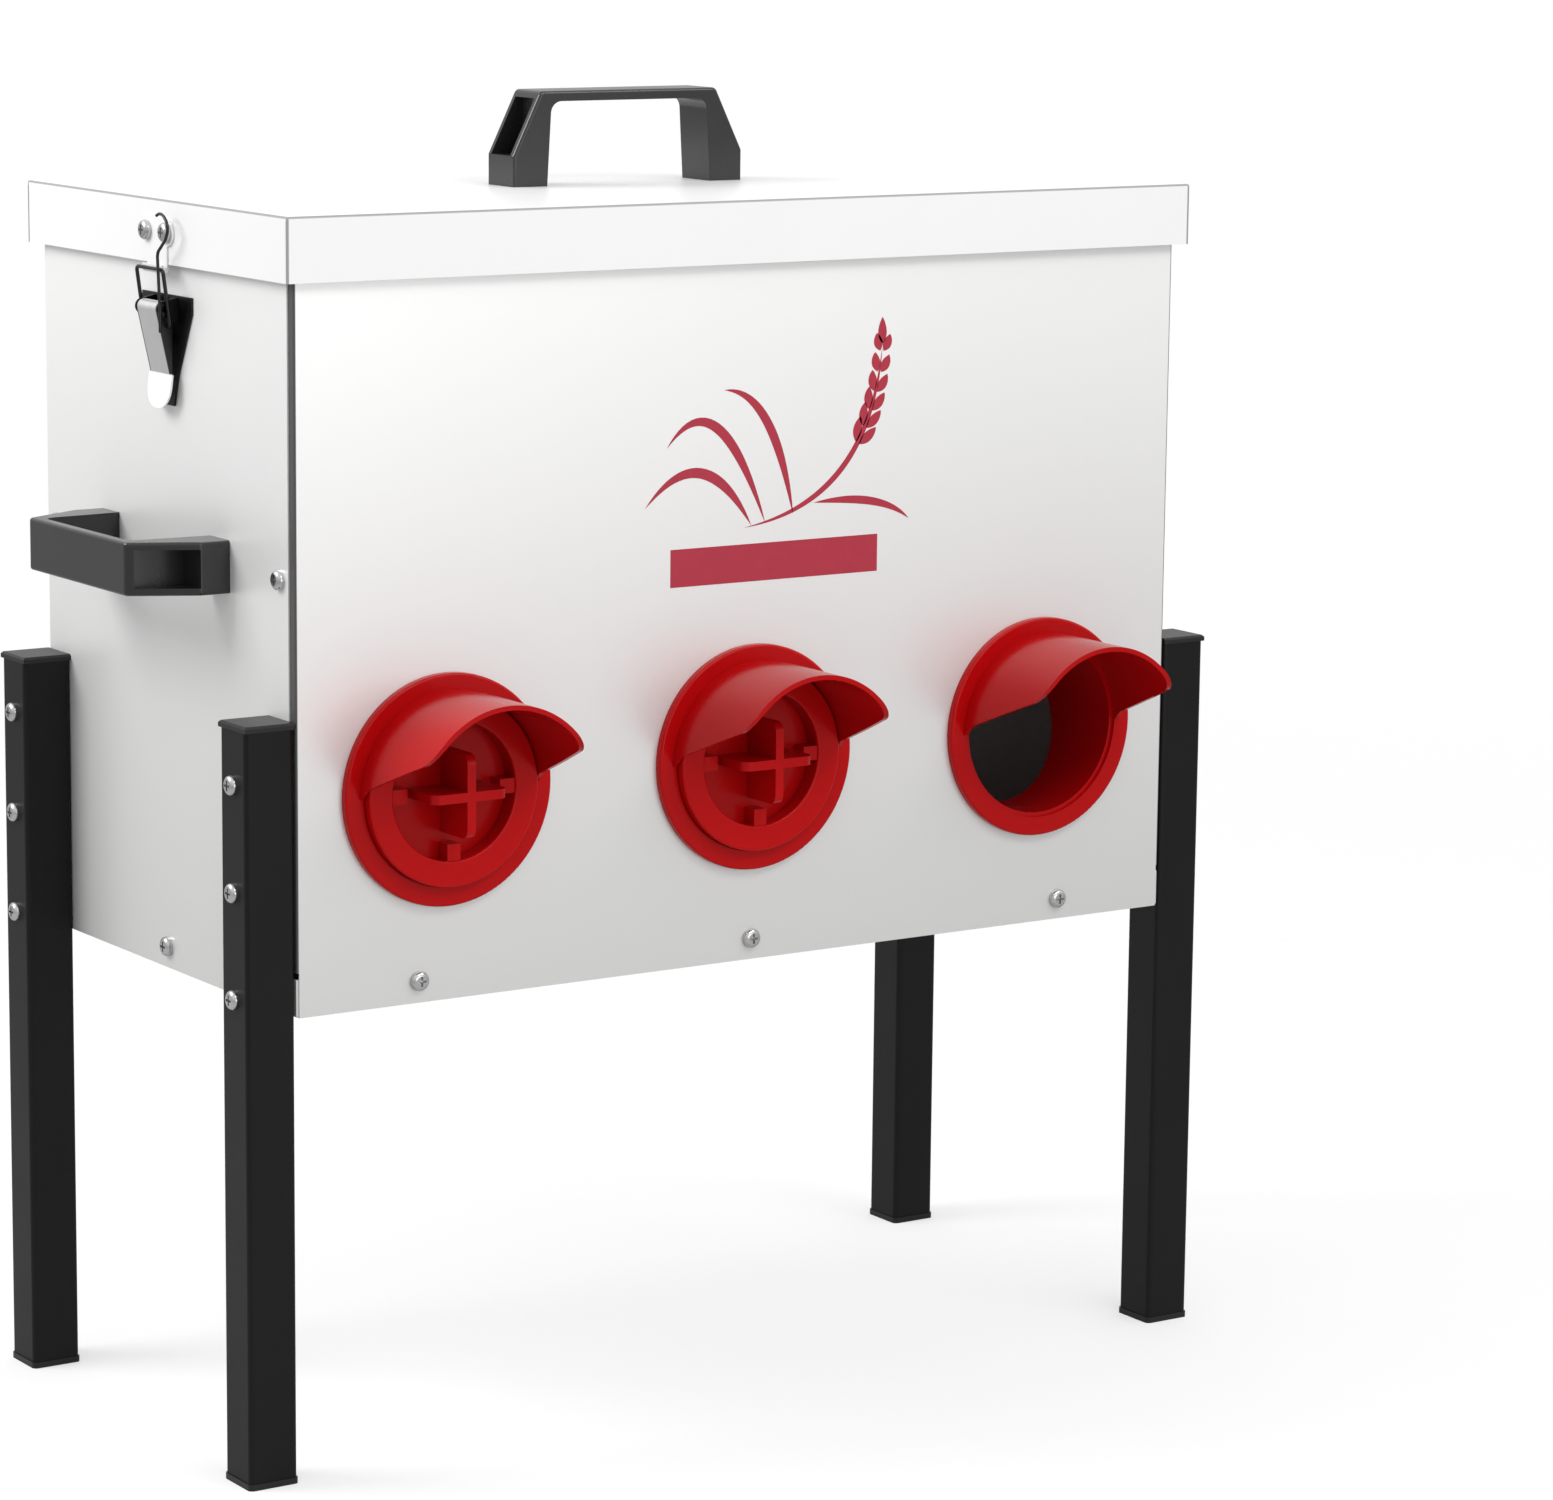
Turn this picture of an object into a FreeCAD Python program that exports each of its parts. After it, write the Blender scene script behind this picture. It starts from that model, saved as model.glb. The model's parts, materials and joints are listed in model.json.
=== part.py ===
import FreeCAD, Part

import math
import os
from types import SimpleNamespace

import Sketcher
from FreeCAD import Placement, Rotation, Vector

# Gravity poultry feeder: a sheet-metal hopper on four tubular legs, with three
# hooded feed ports in its front, push-in port plugs, a lift-off lid held by two
# toggle latches, and three carrying handles.
#
# Frame: millimetres, +Z up, the ports face -Y. The origin is on the ground at the
# centre of everything's footprint, so the hopper's own centre stands `hopper_back`
# behind it, to balance the hoods in front.

SIZES = {
    # hopper
    "box_width": 500.0,
    "box_depth": 254.0,
    "box_bottom": 222.0,
    "rim_height": 589.0,
    "plate": 0.8,
    "side_inset": 5.0,
    "seam_flange": 22.0,
    "seam_foot": 243.0,
    "rim_width": 12.0,
    "tray_wall": 18.0,
    "bend": 1.2,
    "seam_screw_back": 13.0,
    "seam_screw_height": 424.0,
    "floor_screw_height": 232.5,
    "floor_screw_spacing": 185.0,
    # lid
    "lid_overhang": 5.0,
    "lid_top": 590.0,
    "lid_skirt": 30.0,
    "lid_slit": 0.35,
    # legs
    "leg_width": 25.0,
    "leg_wall": 1.2,
    "leg_round": 2.5,
    "leg_height": 360.0,
    "cap_height": 3.0,
    "cap_lip": 0.5,
    "cap_stub": 14.0,
    "stub_gap": 0.15,
    "leg_screw_top": 331.5,
    "leg_screw_pitch": 50.0,
    # fasteners
    "shank_radius": 2.5,
    "hole_gap": 0.2,
    "head_radius": 4.75,
    "head_height": 3.2,
    "nut_flats": 8.0,
    "nut_height": 4.0,
    "thin_nut_height": 2.4,
    # feed ports
    "port_spacing": 170.5,
    "port_height": 322.0,
    "flange_radius": 55.0,
    "flange_proud": 4.0,
    "port_bore": 43.5,
    "port_tube": 46.0,
    "port_gap": 0.4,
    "seat_radius": 45.6,
    "seat_depth": 1.5,
    "hood_radius": 47.9,
    "hood_reach": 59.0,
    "hood_tip_round": 12.0,
    "tube_long": 66.0,
    "tube_short": 30.0,
    "ring_nut_radius": 56.0,
    "ring_nut_height": 10.0,
    # port plugs
    "plug_radius": 45.0,
    "plug_proud": 8.7,
    "plug_skirt": 43.0,
    "plug_skirt_inside": 16.0,
    "plug_well": 32.7,
    "plug_wall": 2.2,
    "grip_span": 40.0,
    "grip_bar": 4.5,
    "grip_front": 24.0,
    "rib_width": 7.0,
    "rib_length": 8.0,
    # handles
    "handle_length": 132.0,
    "handle_width": 25.0,
    "handle_height": 46.0,
    "handle_top": 101.0,
    "handle_shoulder": 15.0,
    "handle_foot": 19.0,
    "handle_bar": 5.0,
    "handle_pocket": 18.0,
    "handle_screw_span": 114.0,
    "side_handle_height": 424.0,
    # toggle latches
    "latch_height": 539.5,
    "latch_forward": 6.5,
    "latch_pin_out": 8.0,
    "latch_pin_radius": 2.5,
    "pin_gap": 0.05,
    "latch_base_width": 50.0,
    "latch_base_drop": 46.0,
    "lever_width": 20.0,
    "lever_plate": 1.0,
    "bail_pivot_out": 6.0,
    "bail_pivot_drop": 8.0,
    "bail_wire": 0.9,
    "bail_width": 26.8,
    "bail_rise": 26.5,
    "bail_bar_out": 9.7,
    "keeper_plate": 0.8,
    "keeper_screw_rise": 35.5,
    "keeper_screw_spacing": 20.0,
}

# Everything on the box centre line stands this far behind the origin.
BOX_SHIFT = "hopper_back"


class Size:
    """A length that carries its spreadsheet expression along with its value."""

    def __init__(self, text, value):
        self.text = text
        self.value = value

    def __add__(self, other):
        other = as_size(other)
        return Size(f"({self.text} + {other.text})", self.value + other.value)

    def __sub__(self, other):
        other = as_size(other)
        return Size(f"({self.text} - {other.text})", self.value - other.value)

    def __mul__(self, factor):
        factor = as_size(factor)
        return Size(f"({self.text} * {factor.text})", self.value * factor.value)

    def __truediv__(self, divisor):
        divisor = as_size(divisor)
        return Size(f"({self.text} / {divisor.text})", self.value / divisor.value)

    def __neg__(self):
        return self * -1

    def __radd__(self, other):
        return as_size(other) + self

    def __rsub__(self, other):
        return as_size(other) - self

    def __rmul__(self, factor):
        return as_size(factor) * self


def as_size(amount):
    """A Size from a plain number, or the same Size again."""
    if isinstance(amount, Size):
        return amount
    return Size(f"({float(amount)})", float(amount))


def value_of(amount):
    """The present value of a Size or a plain number."""
    return as_size(amount).value


def make_sheet(doc):
    """The driving dimensions, each an aliased spreadsheet cell, as Size objects."""
    sheet = doc.addObject("Spreadsheet::Sheet", "dims")
    sizes = dict(SIZES)
    sizes[BOX_SHIFT] = (SIZES["hood_reach"] - SIZES["lid_overhang"]) / 2
    for row, (name, value) in enumerate(sizes.items(), start=1):
        sheet.set(f"A{row}", name)
        sheet.set(f"B{row}", str(value))
        sheet.setAlias(f"B{row}", name)
    doc.recompute()
    return SimpleNamespace(**{name: Size(f"dims.{name}", value) for name, value in sizes.items()})


# ---------------------------------------------------------------- modelling helpers


def put(obj, name, amount):
    """Set one numeric property and bind it to the sheet when it has an expression."""
    setattr(obj, name, value_of(amount))
    if isinstance(amount, Size):
        obj.setExpression(name, amount.text)


def new_body(doc, label):
    """An empty body whose label is its node's name."""
    body = doc.addObject("PartDesign::Body", label)
    body.Label = label
    return body


def place(obj, x, y, z, rotation=None):
    """Give an object its place; coordinates that are Sizes stay bound to the sheet."""
    rotation = rotation or Rotation()
    obj.Placement = Placement(Vector(value_of(x), value_of(y), value_of(z)), rotation)
    for axis, amount in (("x", x), ("y", y), ("z", z)):
        if isinstance(amount, Size):
            obj.setExpression(f"Placement.Base.{axis}", amount.text)


def sketch_on(body, name, plane, offset=0):
    """A sketch on one of the body's own origin planes, moved along that plane's normal.

    Sketch axes are (X, Y) on XY_Plane, (X, Z) on XZ_Plane, whose normal is -Y, and
    (Y, Z) on YZ_Plane.
    """
    sketch = body.newObject("Sketcher::SketchObject", name)
    support = next(item for item in body.Origin.OriginFeatures if item.Role == plane)
    sketch.AttachmentSupport = [(support, "")]
    sketch.MapMode = "FlatFace"
    sketch.AttachmentOffset = Placement(Vector(0, 0, value_of(offset)), Rotation())
    if isinstance(offset, Size):
        sketch.setExpression("AttachmentOffset.Base.z", offset.text)
    return sketch


def constrain(sketch, *arguments):
    """Add a dimension whose last argument is its amount, bound to the sheet if it can be."""
    amount = arguments[-1]
    index = sketch.addConstraint(Sketcher.Constraint(*arguments[:-1], value_of(amount)))
    if isinstance(amount, Size):
        sketch.setExpression(f"Constraints[{index}]", amount.text)


def arc_between(start, end, radius):
    """The minor arc from start to end: anticlockwise, or clockwise when radius is negative."""
    if radius < 0:
        return arc_between(end, start, -radius)
    chord = end - start
    half = chord.Length / 2
    left = Vector(-chord.y, chord.x, 0).normalize()
    centre = (start + end) / 2 + left * math.sqrt(radius * radius - half * half)
    angles = [math.atan2(point.y - centre.y, point.x - centre.x) for point in (start, end)]
    return Part.ArcOfCircle(Part.Circle(centre, Vector(0, 0, 1), radius), *angles)


def outline(sketch, corners, closed=True):
    """Draw straight runs and arcs through corners of (x, y) or (x, y, radius to the next)."""
    points = [Vector(value_of(corner[0]), value_of(corner[1]), 0) for corner in corners]
    count = len(corners) if closed else len(corners) - 1
    starts = []
    first = sketch.GeometryCount
    for index in range(count):
        start = points[index]
        end = points[(index + 1) % len(points)]
        radius = value_of(corners[index][2]) if len(corners[index]) == 3 else 0
        if radius:
            sketch.addGeometry(arc_between(start, end, radius), False)
        else:
            sketch.addGeometry(Part.LineSegment(start, end), False)
        starts.append(2 if radius < 0 else 1)
    for index in range(count):
        corner = corners[index]
        constrain(sketch, "DistanceX", -1, 1, first + index, starts[index], corner[0])
        constrain(sketch, "DistanceY", -1, 1, first + index, starts[index], corner[1])
        if len(corner) == 3:
            radius = corner[2] if value_of(corner[2]) > 0 else -as_size(corner[2])
            constrain(sketch, "Radius", first + index, radius)
        if closed or index < count - 1:
            after = (index + 1) % count
            sketch.addConstraint(
                Sketcher.Constraint(
                    "Coincident", first + index, 3 - starts[index], first + after, starts[after]
                )
            )
    if not closed:
        last = first + count - 1
        constrain(sketch, "DistanceX", -1, 1, last, 3 - starts[-1], corners[-1][0])
        constrain(sketch, "DistanceY", -1, 1, last, 3 - starts[-1], corners[-1][1])
    return sketch


def rectangle(sketch, x0, y0, x1, y1):
    """Draw a rectangle between two opposite corners."""
    return outline(sketch, [(x0, y0), (x1, y0), (x1, y1), (x0, y1)])


def circle(sketch, x, y, radius):
    """Draw a circle, its centre and radius dimensioned."""
    centre = Vector(value_of(x), value_of(y), 0)
    shape = Part.Circle(centre, Vector(0, 0, 1), value_of(radius))
    index = sketch.addGeometry(shape, False)
    constrain(sketch, "DistanceX", -1, 1, index, 3, x)
    constrain(sketch, "DistanceY", -1, 1, index, 3, y)
    constrain(sketch, "Radius", index, radius)
    return sketch


def pad(body, sketch, length, both=False, backwards=False):
    """Extrude a sketch along its normal, or evenly to both sides."""
    feature = body.newObject("PartDesign::Pad", f"{body.Name}_pad")
    feature.Profile = sketch
    put(feature, "Length", length)
    feature.SideType = "Symmetric" if both else "One side"
    feature.Reversed = backwards
    return feature


def pocket(body, sketch, length=None, both=False, forwards=False):
    """Cut a sketch against its normal; with no length, right through both ways."""
    feature = body.newObject("PartDesign::Pocket", f"{body.Name}_pocket")
    feature.Profile = sketch
    if length is None:
        feature.Type = "ThroughAll"
        feature.SideType = "Symmetric"
    else:
        put(feature, "Length", length)
        feature.SideType = "Symmetric" if both else "One side"
        feature.Reversed = forwards
    return feature


def revolve(body, sketch):
    """Turn an XZ-plane sketch once round the body's Z axis."""
    feature = body.newObject("PartDesign::Revolution", f"{body.Name}_revolution")
    feature.Profile = sketch
    feature.ReferenceAxis = (sketch, ["V_Axis"])
    feature.Angle = 360
    return feature


def dress(body, kind, amount, points):
    """Fillet or chamfer the edges that pass through the given points."""
    body.Document.recompute()
    base = body.Tip
    edges = base.Shape.Edges
    names = []
    for point in points:
        probe = Part.Vertex(*[value_of(part) for part in point])
        distances = [edge.distToShape(probe)[0] for edge in edges]
        names.append(f"Edge{distances.index(min(distances)) + 1}")
    feature = body.newObject(f"PartDesign::{kind}", f"{body.Name}_{kind.lower()}")
    feature.Base = (base, names)
    put(feature, "Radius" if kind == "Fillet" else "Size", amount)
    return feature


def fillet(body, radius, points):
    return dress(body, "Fillet", radius, points)


def chamfer(body, size, points):
    return dress(body, "Chamfer", size, points)


# ---------------------------------------------------------------- placing helpers

HALF_TURN = Rotation(Vector(0, 0, 1), 180)
OUT_OF_FRONT = Rotation(Vector(1, 0, 0), 90)
SIDES = {"left": -1, "right": 1}


def facing(direction):
    """The turn that points a fastener's head along a direction."""
    return Rotation(Vector(0, 0, 1), Vector(*direction))


def in_box(d, y):
    """A Y coordinate measured from the hopper's centre, in the part's frame."""
    return d.hopper_back + y


# ---------------------------------------------------------------- sheet-metal hopper


def end_panel(doc, d, label):
    """A front or rear panel: a web, a seam flange down each side and a rim at the top."""
    body = new_body(doc, label)
    half = d.box_width / 2 - d.plate
    face = -d.box_depth / 2
    inner = face + d.plate
    flange = face + d.seam_flange
    seam = sketch_on(body, f"{label}_seam", "XY_Plane", d.seam_foot)
    outline(
        seam,
        [
            (-half, face),
            (half, face),
            (half, flange),
            (half - d.plate, flange),
            (half - d.plate, inner),
            (d.plate - half, inner),
            (d.plate - half, flange),
            (-half, flange),
        ],
    )
    pad(body, seam, d.rim_height - d.seam_foot - d.plate * 4)
    mid = d.seam_screw_height
    fillet(body, d.bend, [(half, face, mid), (-half, face, mid)])
    fillet(body, d.bend - d.plate, [(half - d.plate, inner, mid), (d.plate - half, inner, mid)])
    web = sketch_on(body, f"{label}_web", "XY_Plane", d.box_bottom)
    rectangle(web, d.bend - half, face, half - d.bend, inner)
    pad(body, web, d.rim_height - d.box_bottom)
    rim = sketch_on(body, f"{label}_rim", "XY_Plane", d.rim_height)
    rectangle(rim, d.bend - half, inner, half - d.bend, face + d.rim_width)
    pad(body, rim, d.plate, backwards=True)
    floor_screws = sketch_on(body, f"{label}_floor_screws", "XZ_Plane")
    for step in (-1, 0, 1):
        place_x = d.floor_screw_spacing * step
        circle(floor_screws, place_x, d.floor_screw_height, d.shank_radius + d.hole_gap)
    pocket(body, floor_screws)
    seam_screws = sketch_on(body, f"{label}_seam_screws", "YZ_Plane")
    circle(
        seam_screws, face + d.seam_screw_back, d.seam_screw_height, d.shank_radius + d.hole_gap
    )
    for step in (0, 1):
        height = d.leg_screw_top - d.leg_screw_pitch * step
        circle(seam_screws, face + d.leg_width / 2, height, d.shank_radius + d.hole_gap)
    pocket(body, seam_screws)
    return body


def front_panel(doc, d):
    """The front panel, with the three port holes."""
    body = end_panel(doc, d, "front_panel")
    holes = sketch_on(body, "port_holes", "XZ_Plane")
    for step in (-1, 0, 1):
        circle(holes, d.port_spacing * step, d.port_height, d.port_tube + d.port_gap)
    pocket(body, holes)
    place(body, 0, d.hopper_back, 0)
    return body


def rear_panel(doc, d):
    body = end_panel(doc, d, "rear_panel")
    place(body, 0, d.hopper_back, 0, HALF_TURN)
    return body


def side_panel(doc, d, side):
    """A flat side with a rim; drawn as the right side and turned round for the left."""
    label = f"{side}_side_panel"
    body = new_body(doc, label)
    face = d.box_width / 2
    reach = d.box_depth / 2 - d.side_inset
    rim_reach = d.box_depth / 2 - d.rim_width - d.bend
    hole = d.shank_radius + d.hole_gap
    wall = sketch_on(body, f"{label}_wall", "XY_Plane", d.box_bottom)
    rectangle(wall, face - d.plate, -reach, face, reach)
    pad(body, wall, d.rim_height - d.box_bottom)
    rim = sketch_on(body, f"{label}_rim", "XY_Plane", d.rim_height)
    rectangle(rim, face - d.rim_width, -rim_reach, face - d.plate, rim_reach)
    pad(body, rim, d.plate, backwards=True)
    holes = sketch_on(body, f"{label}_holes", "YZ_Plane")
    circle(holes, 0, d.floor_screw_height, hole)
    for end in (-1, 1):
        circle(holes, (d.box_depth / 2 - d.seam_screw_back) * end, d.seam_screw_height, hole)
        circle(holes, d.handle_screw_span / 2 * end, d.side_handle_height, hole)
        for step in range(3):
            height = d.leg_screw_top - d.leg_screw_pitch * step
            circle(holes, (d.box_depth - d.leg_width) / 2 * end, height, hole)
    for drop in RIVET_DROPS:
        forward = -d.latch_forward * SIDES[side]
        circle(holes, forward, d.latch_height - drop, RIVET_SHANK + RIVET_GAP)
    pocket(body, holes)
    place(body, 0, d.hopper_back, 0, HALF_TURN if side == "left" else None)
    return body


def floor_tray(doc, d):
    """The shallow tray that closes the hopper's bottom, standing inside the panels."""
    body = new_body(doc, "floor_tray")
    half_x = d.box_width / 2 - d.plate
    half_y = d.box_depth / 2 - d.plate
    hole = d.shank_radius + d.hole_gap
    block = sketch_on(body, "tray_outside", "XY_Plane", d.box_bottom)
    rectangle(block, -half_x, -half_y, half_x, half_y)
    pad(body, block, d.tray_wall)
    bottom = d.box_bottom
    fillet(
        body,
        d.bend,
        [(half_x, 0, bottom), (-half_x, 0, bottom), (0, half_y, bottom), (0, -half_y, bottom)],
    )
    inside = sketch_on(body, "tray_inside", "XY_Plane", d.box_bottom + d.plate)
    rectangle(inside, d.plate - half_x, d.plate - half_y, half_x - d.plate, half_y - d.plate)
    pocket(body, inside, d.tray_wall, forwards=True)
    long_holes = sketch_on(body, "tray_front_holes", "XZ_Plane")
    for step in (-1, 0, 1):
        circle(long_holes, d.floor_screw_spacing * step, d.floor_screw_height, hole)
    pocket(body, long_holes)
    short_holes = sketch_on(body, "tray_side_holes", "YZ_Plane")
    circle(short_holes, 0, d.floor_screw_height, hole)
    for end in (-1, 1):
        height = d.leg_screw_top - d.leg_screw_pitch * 2
        circle(short_holes, (d.box_depth - d.leg_width) / 2 * end, height, hole)
    pocket(body, short_holes)
    place(body, 0, d.hopper_back, 0)
    return body


# ---------------------------------------------------------------- lid


def lid(doc, d):
    """A shallow inverted pan whose skirts meet at a fine slit behind each long skirt."""
    body = new_body(doc, "lid")
    half_x = d.box_width / 2 + d.lid_overhang
    half_y = d.box_depth / 2 + d.lid_overhang
    foot = d.lid_top - d.lid_skirt
    block = sketch_on(body, "lid_outside", "XY_Plane", foot)
    rectangle(block, -half_x, -half_y, half_x, half_y)
    pad(body, block, d.lid_skirt)
    top = d.lid_top
    fillet(body, d.bend, [(half_x, 0, top), (-half_x, 0, top), (0, half_y, top), (0, -half_y, top)])
    inside = sketch_on(body, "lid_inside", "XY_Plane", foot)
    rectangle(inside, d.plate - half_x, d.plate - half_y, half_x - d.plate, half_y - d.plate)
    pocket(body, inside, d.lid_skirt - d.plate, forwards=True)
    slits = sketch_on(body, "lid_corner_slits", "YZ_Plane")
    for end in (-1, 1):
        outer = (half_y - d.plate) * end
        inner = (half_y - d.plate - d.lid_slit) * end
        rectangle(slits, outer, foot - d.bend, inner, d.lid_top - d.bend * 2)
    pocket(body, slits)
    handle_holes = sketch_on(body, "lid_handle_holes", "XY_Plane", d.lid_top)
    for end in (-1, 1):
        circle(handle_holes, d.handle_screw_span / 2 * end, 0, d.shank_radius + d.hole_gap)
    pocket(body, handle_holes)
    keeper_holes = sketch_on(body, "lid_keeper_holes", "YZ_Plane")
    for end in (-1, 1):
        height = d.latch_height + d.keeper_screw_rise
        along = d.keeper_screw_spacing / 2 * end - d.latch_forward
        circle(keeper_holes, along, height, d.shank_radius + d.hole_gap)
    pocket(body, keeper_holes)
    place(body, 0, d.hopper_back, 0)
    return body


# ---------------------------------------------------------------- legs


def leg_x(d, side):
    return (d.box_width + d.leg_width) / 2 * SIDES[side]


def leg_y(d, end):
    """A leg's centre: level with the front or the rear face of the box."""
    reach = (d.box_depth - d.leg_width) / 2
    return in_box(d, -reach if end == "front" else reach)


def square_prism(body, name, height, half, length, up=True):
    """A square prism about the body's axis."""
    sketch = sketch_on(body, name, "XY_Plane", height)
    rectangle(sketch, -half, -half, half, half)
    pad(body, sketch, length, backwards=not up)


def upright_edges(half, height):
    """A point on each upright edge of a square prism."""
    return [(half * x, half * y, height) for x in (-1, 1) for y in (-1, 1)]


def leg(doc, d, side, end):
    """One square tube, open at both ends for its cap and its foot."""
    body = new_body(doc, f"leg_{end}_{side}")
    half = d.leg_width / 2
    bore = half - d.leg_wall
    length = d.leg_height - d.cap_height * 2
    square_prism(body, "tube_outside", d.cap_height, half, length)
    fillet(body, d.leg_round, upright_edges(half, d.leg_height / 2))
    inside = sketch_on(body, "tube_inside", "XY_Plane", d.cap_height)
    rectangle(inside, -bore, -bore, bore, bore)
    pocket(body, inside, length, forwards=True)
    fillet(body, d.leg_round - d.leg_wall, upright_edges(bore, d.leg_height / 2))
    holes = sketch_on(body, "screw_holes", "YZ_Plane")
    for step in range(3):
        height = d.leg_screw_top - d.leg_screw_pitch * step
        circle(holes, 0, height, d.shank_radius + d.hole_gap)
    pocket(body, holes)
    place(body, leg_x(d, side), leg_y(d, end), 0)
    return body


def leg_stub(body, d, height, up):
    """The ribless square stub that holds a cap or a foot in its tube."""
    half = d.leg_width / 2 - d.leg_wall - d.stub_gap
    square_prism(body, "stub", height, half, d.cap_stub, up)
    reach = d.cap_stub / 2 if up else -d.cap_stub / 2
    fillet(body, d.leg_round - d.leg_wall, upright_edges(half, height + reach))


def leg_cap(doc, d, side, end):
    """The plastic plug in a leg's top, with a lip on the sides away from the panel."""
    body = new_body(doc, f"leg_cap_{end}_{side}")
    half = d.leg_width / 2
    under = d.leg_height - d.cap_height
    plate = sketch_on(body, "lip", "XY_Plane", under)
    outer = (half + d.cap_lip) * SIDES[side]
    inner = -half * SIDES[side]
    rectangle(plate, inner, -half - d.cap_lip, outer, half + d.cap_lip)
    pad(body, plate, d.cap_height)
    top = d.leg_height
    rim = [(outer, 0, top), (0, half + d.cap_lip, top), (0, -half - d.cap_lip, top)]
    chamfer(body, CAP_CHAMFER, rim)
    leg_stub(body, d, under, up=False)
    place(body, leg_x(d, side), leg_y(d, end), 0)
    return body


def leg_foot(doc, d, side, end):
    """The plastic glide in a leg's bottom."""
    body = new_body(doc, f"leg_foot_{end}_{side}")
    half = d.leg_width / 2 + d.cap_lip
    square_prism(body, "glide", 0, half, d.cap_height)
    fillet(body, d.leg_round, upright_edges(half, d.cap_height / 2))
    leg_stub(body, d, d.cap_height, up=True)
    place(body, leg_x(d, side), leg_y(d, end), 0)
    return body


CAP_CHAMFER = 1.0

# ---------------------------------------------------------------- feed ports


def port_x(d, step):
    return d.port_spacing * step


def place_in_front(obj, d, step):
    """Put a piece drawn about its own Z axis into a port hole, pointing out of the front."""
    place(obj, port_x(d, step), in_box(d, -d.box_depth / 2), d.port_height, OUT_OF_FRONT)


def feed_port(doc, d, name, step):
    """Flange, tube and rain hood in one moulding: X across, Y up, Z out of the panel."""
    body = new_body(doc, f"feed_port_{name}")
    seat = d.flange_proud - d.seat_depth
    section = sketch_on(body, "section", "XZ_Plane")
    outline(
        section,
        [
            (d.port_bore, -d.tube_long),
            (d.port_tube, -d.tube_long),
            (d.port_tube, 0),
            (d.flange_radius, 0),
            (d.flange_radius, d.flange_proud),
            (d.seat_radius, d.flange_proud),
            (d.seat_radius, seat),
            (d.port_bore, seat),
        ],
    )
    revolve(body, section)
    fillet(body, FLANGE_ROUND, [(0, d.flange_radius, d.flange_proud)])
    hood = sketch_on(body, "hood_ring", "XY_Plane", seat)
    circle(hood, 0, 0, d.hood_radius)
    circle(hood, 0, 0, d.seat_radius)
    pad(body, hood, d.hood_reach - seat)
    pocket(body, hood_edge(body, d))
    pocket(body, tube_end(body, d))
    place_in_front(body, d, step)
    return body


def hood_edge(body, d):
    """Side view of what is cut off the hood: a rising edge and a rounded tip."""
    sketch = sketch_on(body, "hood_edge", "YZ_Plane")
    rise = HOOD_SLOPE * math.pi / 180
    tip_y = d.hood_radius * HOOD_TIP_HEIGHT
    turn_y = tip_y - d.hood_tip_round * math.cos(rise)
    turn_z = d.hood_reach - d.hood_tip_round * (1 - math.sin(rise))
    root_z = d.flange_proud + HOOD_ROOT
    root_y = turn_y - (turn_z - root_z) * math.tan(rise)
    below = -d.flange_radius
    beyond = d.hood_reach + FLANGE_ROUND
    outline(
        sketch,
        [
            (below, d.flange_proud),
            (root_y - HOOD_ROOT, d.flange_proud),
            (root_y, root_z),
            (turn_y, turn_z, -d.hood_tip_round),
            (tip_y, d.hood_reach),
            (tip_y, beyond),
            (below, beyond),
        ],
    )
    return sketch


def tube_end(body, d):
    """Side view of the slanting end of the tube inside the hopper."""
    sketch = sketch_on(body, "tube_end", "YZ_Plane")
    side = d.flange_radius
    slope = (d.tube_long - d.tube_short) / (d.port_tube * 2)
    middle = (d.tube_long + d.tube_short) / 2
    beyond = -d.tube_long - side
    corners = [(-side, side * slope - middle), (-side, beyond)]
    corners += [(side, beyond), (side, -side * slope - middle)]
    return outline(sketch, corners)


FLANGE_ROUND = 1.2
HOOD_SLOPE = 22.0
HOOD_TIP_HEIGHT = 0.69
HOOD_ROOT = 5.0


def port_nut(doc, d, name, step):
    """The lugged ring nut that clamps a port from inside the hopper."""
    body = new_body(doc, f"port_nut_{name}")
    top = -d.plate
    ring = sketch_on(body, "ring", "XY_Plane", top)
    circle(ring, 0, 0, d.ring_nut_radius)
    circle(ring, 0, 0, d.port_tube + NUT_THREAD_GAP)
    pad(body, ring, d.ring_nut_height, backwards=True)
    lug = sketch_on(body, "lug", "XY_Plane", top)
    edge = d.ring_nut_radius - LUG_ROOT
    rectangle(lug, edge, -LUG_WIDTH / 2, d.ring_nut_radius + LUG_PROUD, LUG_WIDTH / 2)
    lug_pad = pad(body, lug, d.ring_nut_height, backwards=True)
    turn = body.newObject("PartDesign::PolarPattern", "lugs")
    turn.Originals = [lug_pad]
    turn.Axis = (lug, ["N_Axis"])
    turn.Angle = 360
    turn.Occurrences = LUG_COUNT
    body.Tip = turn
    place_in_front(body, d, step)
    return body


NUT_THREAD_GAP = 0.1
LUG_ROOT = 1.5
LUG_PROUD = 3.0
LUG_WIDTH = 8.0
LUG_COUNT = 8


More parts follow.
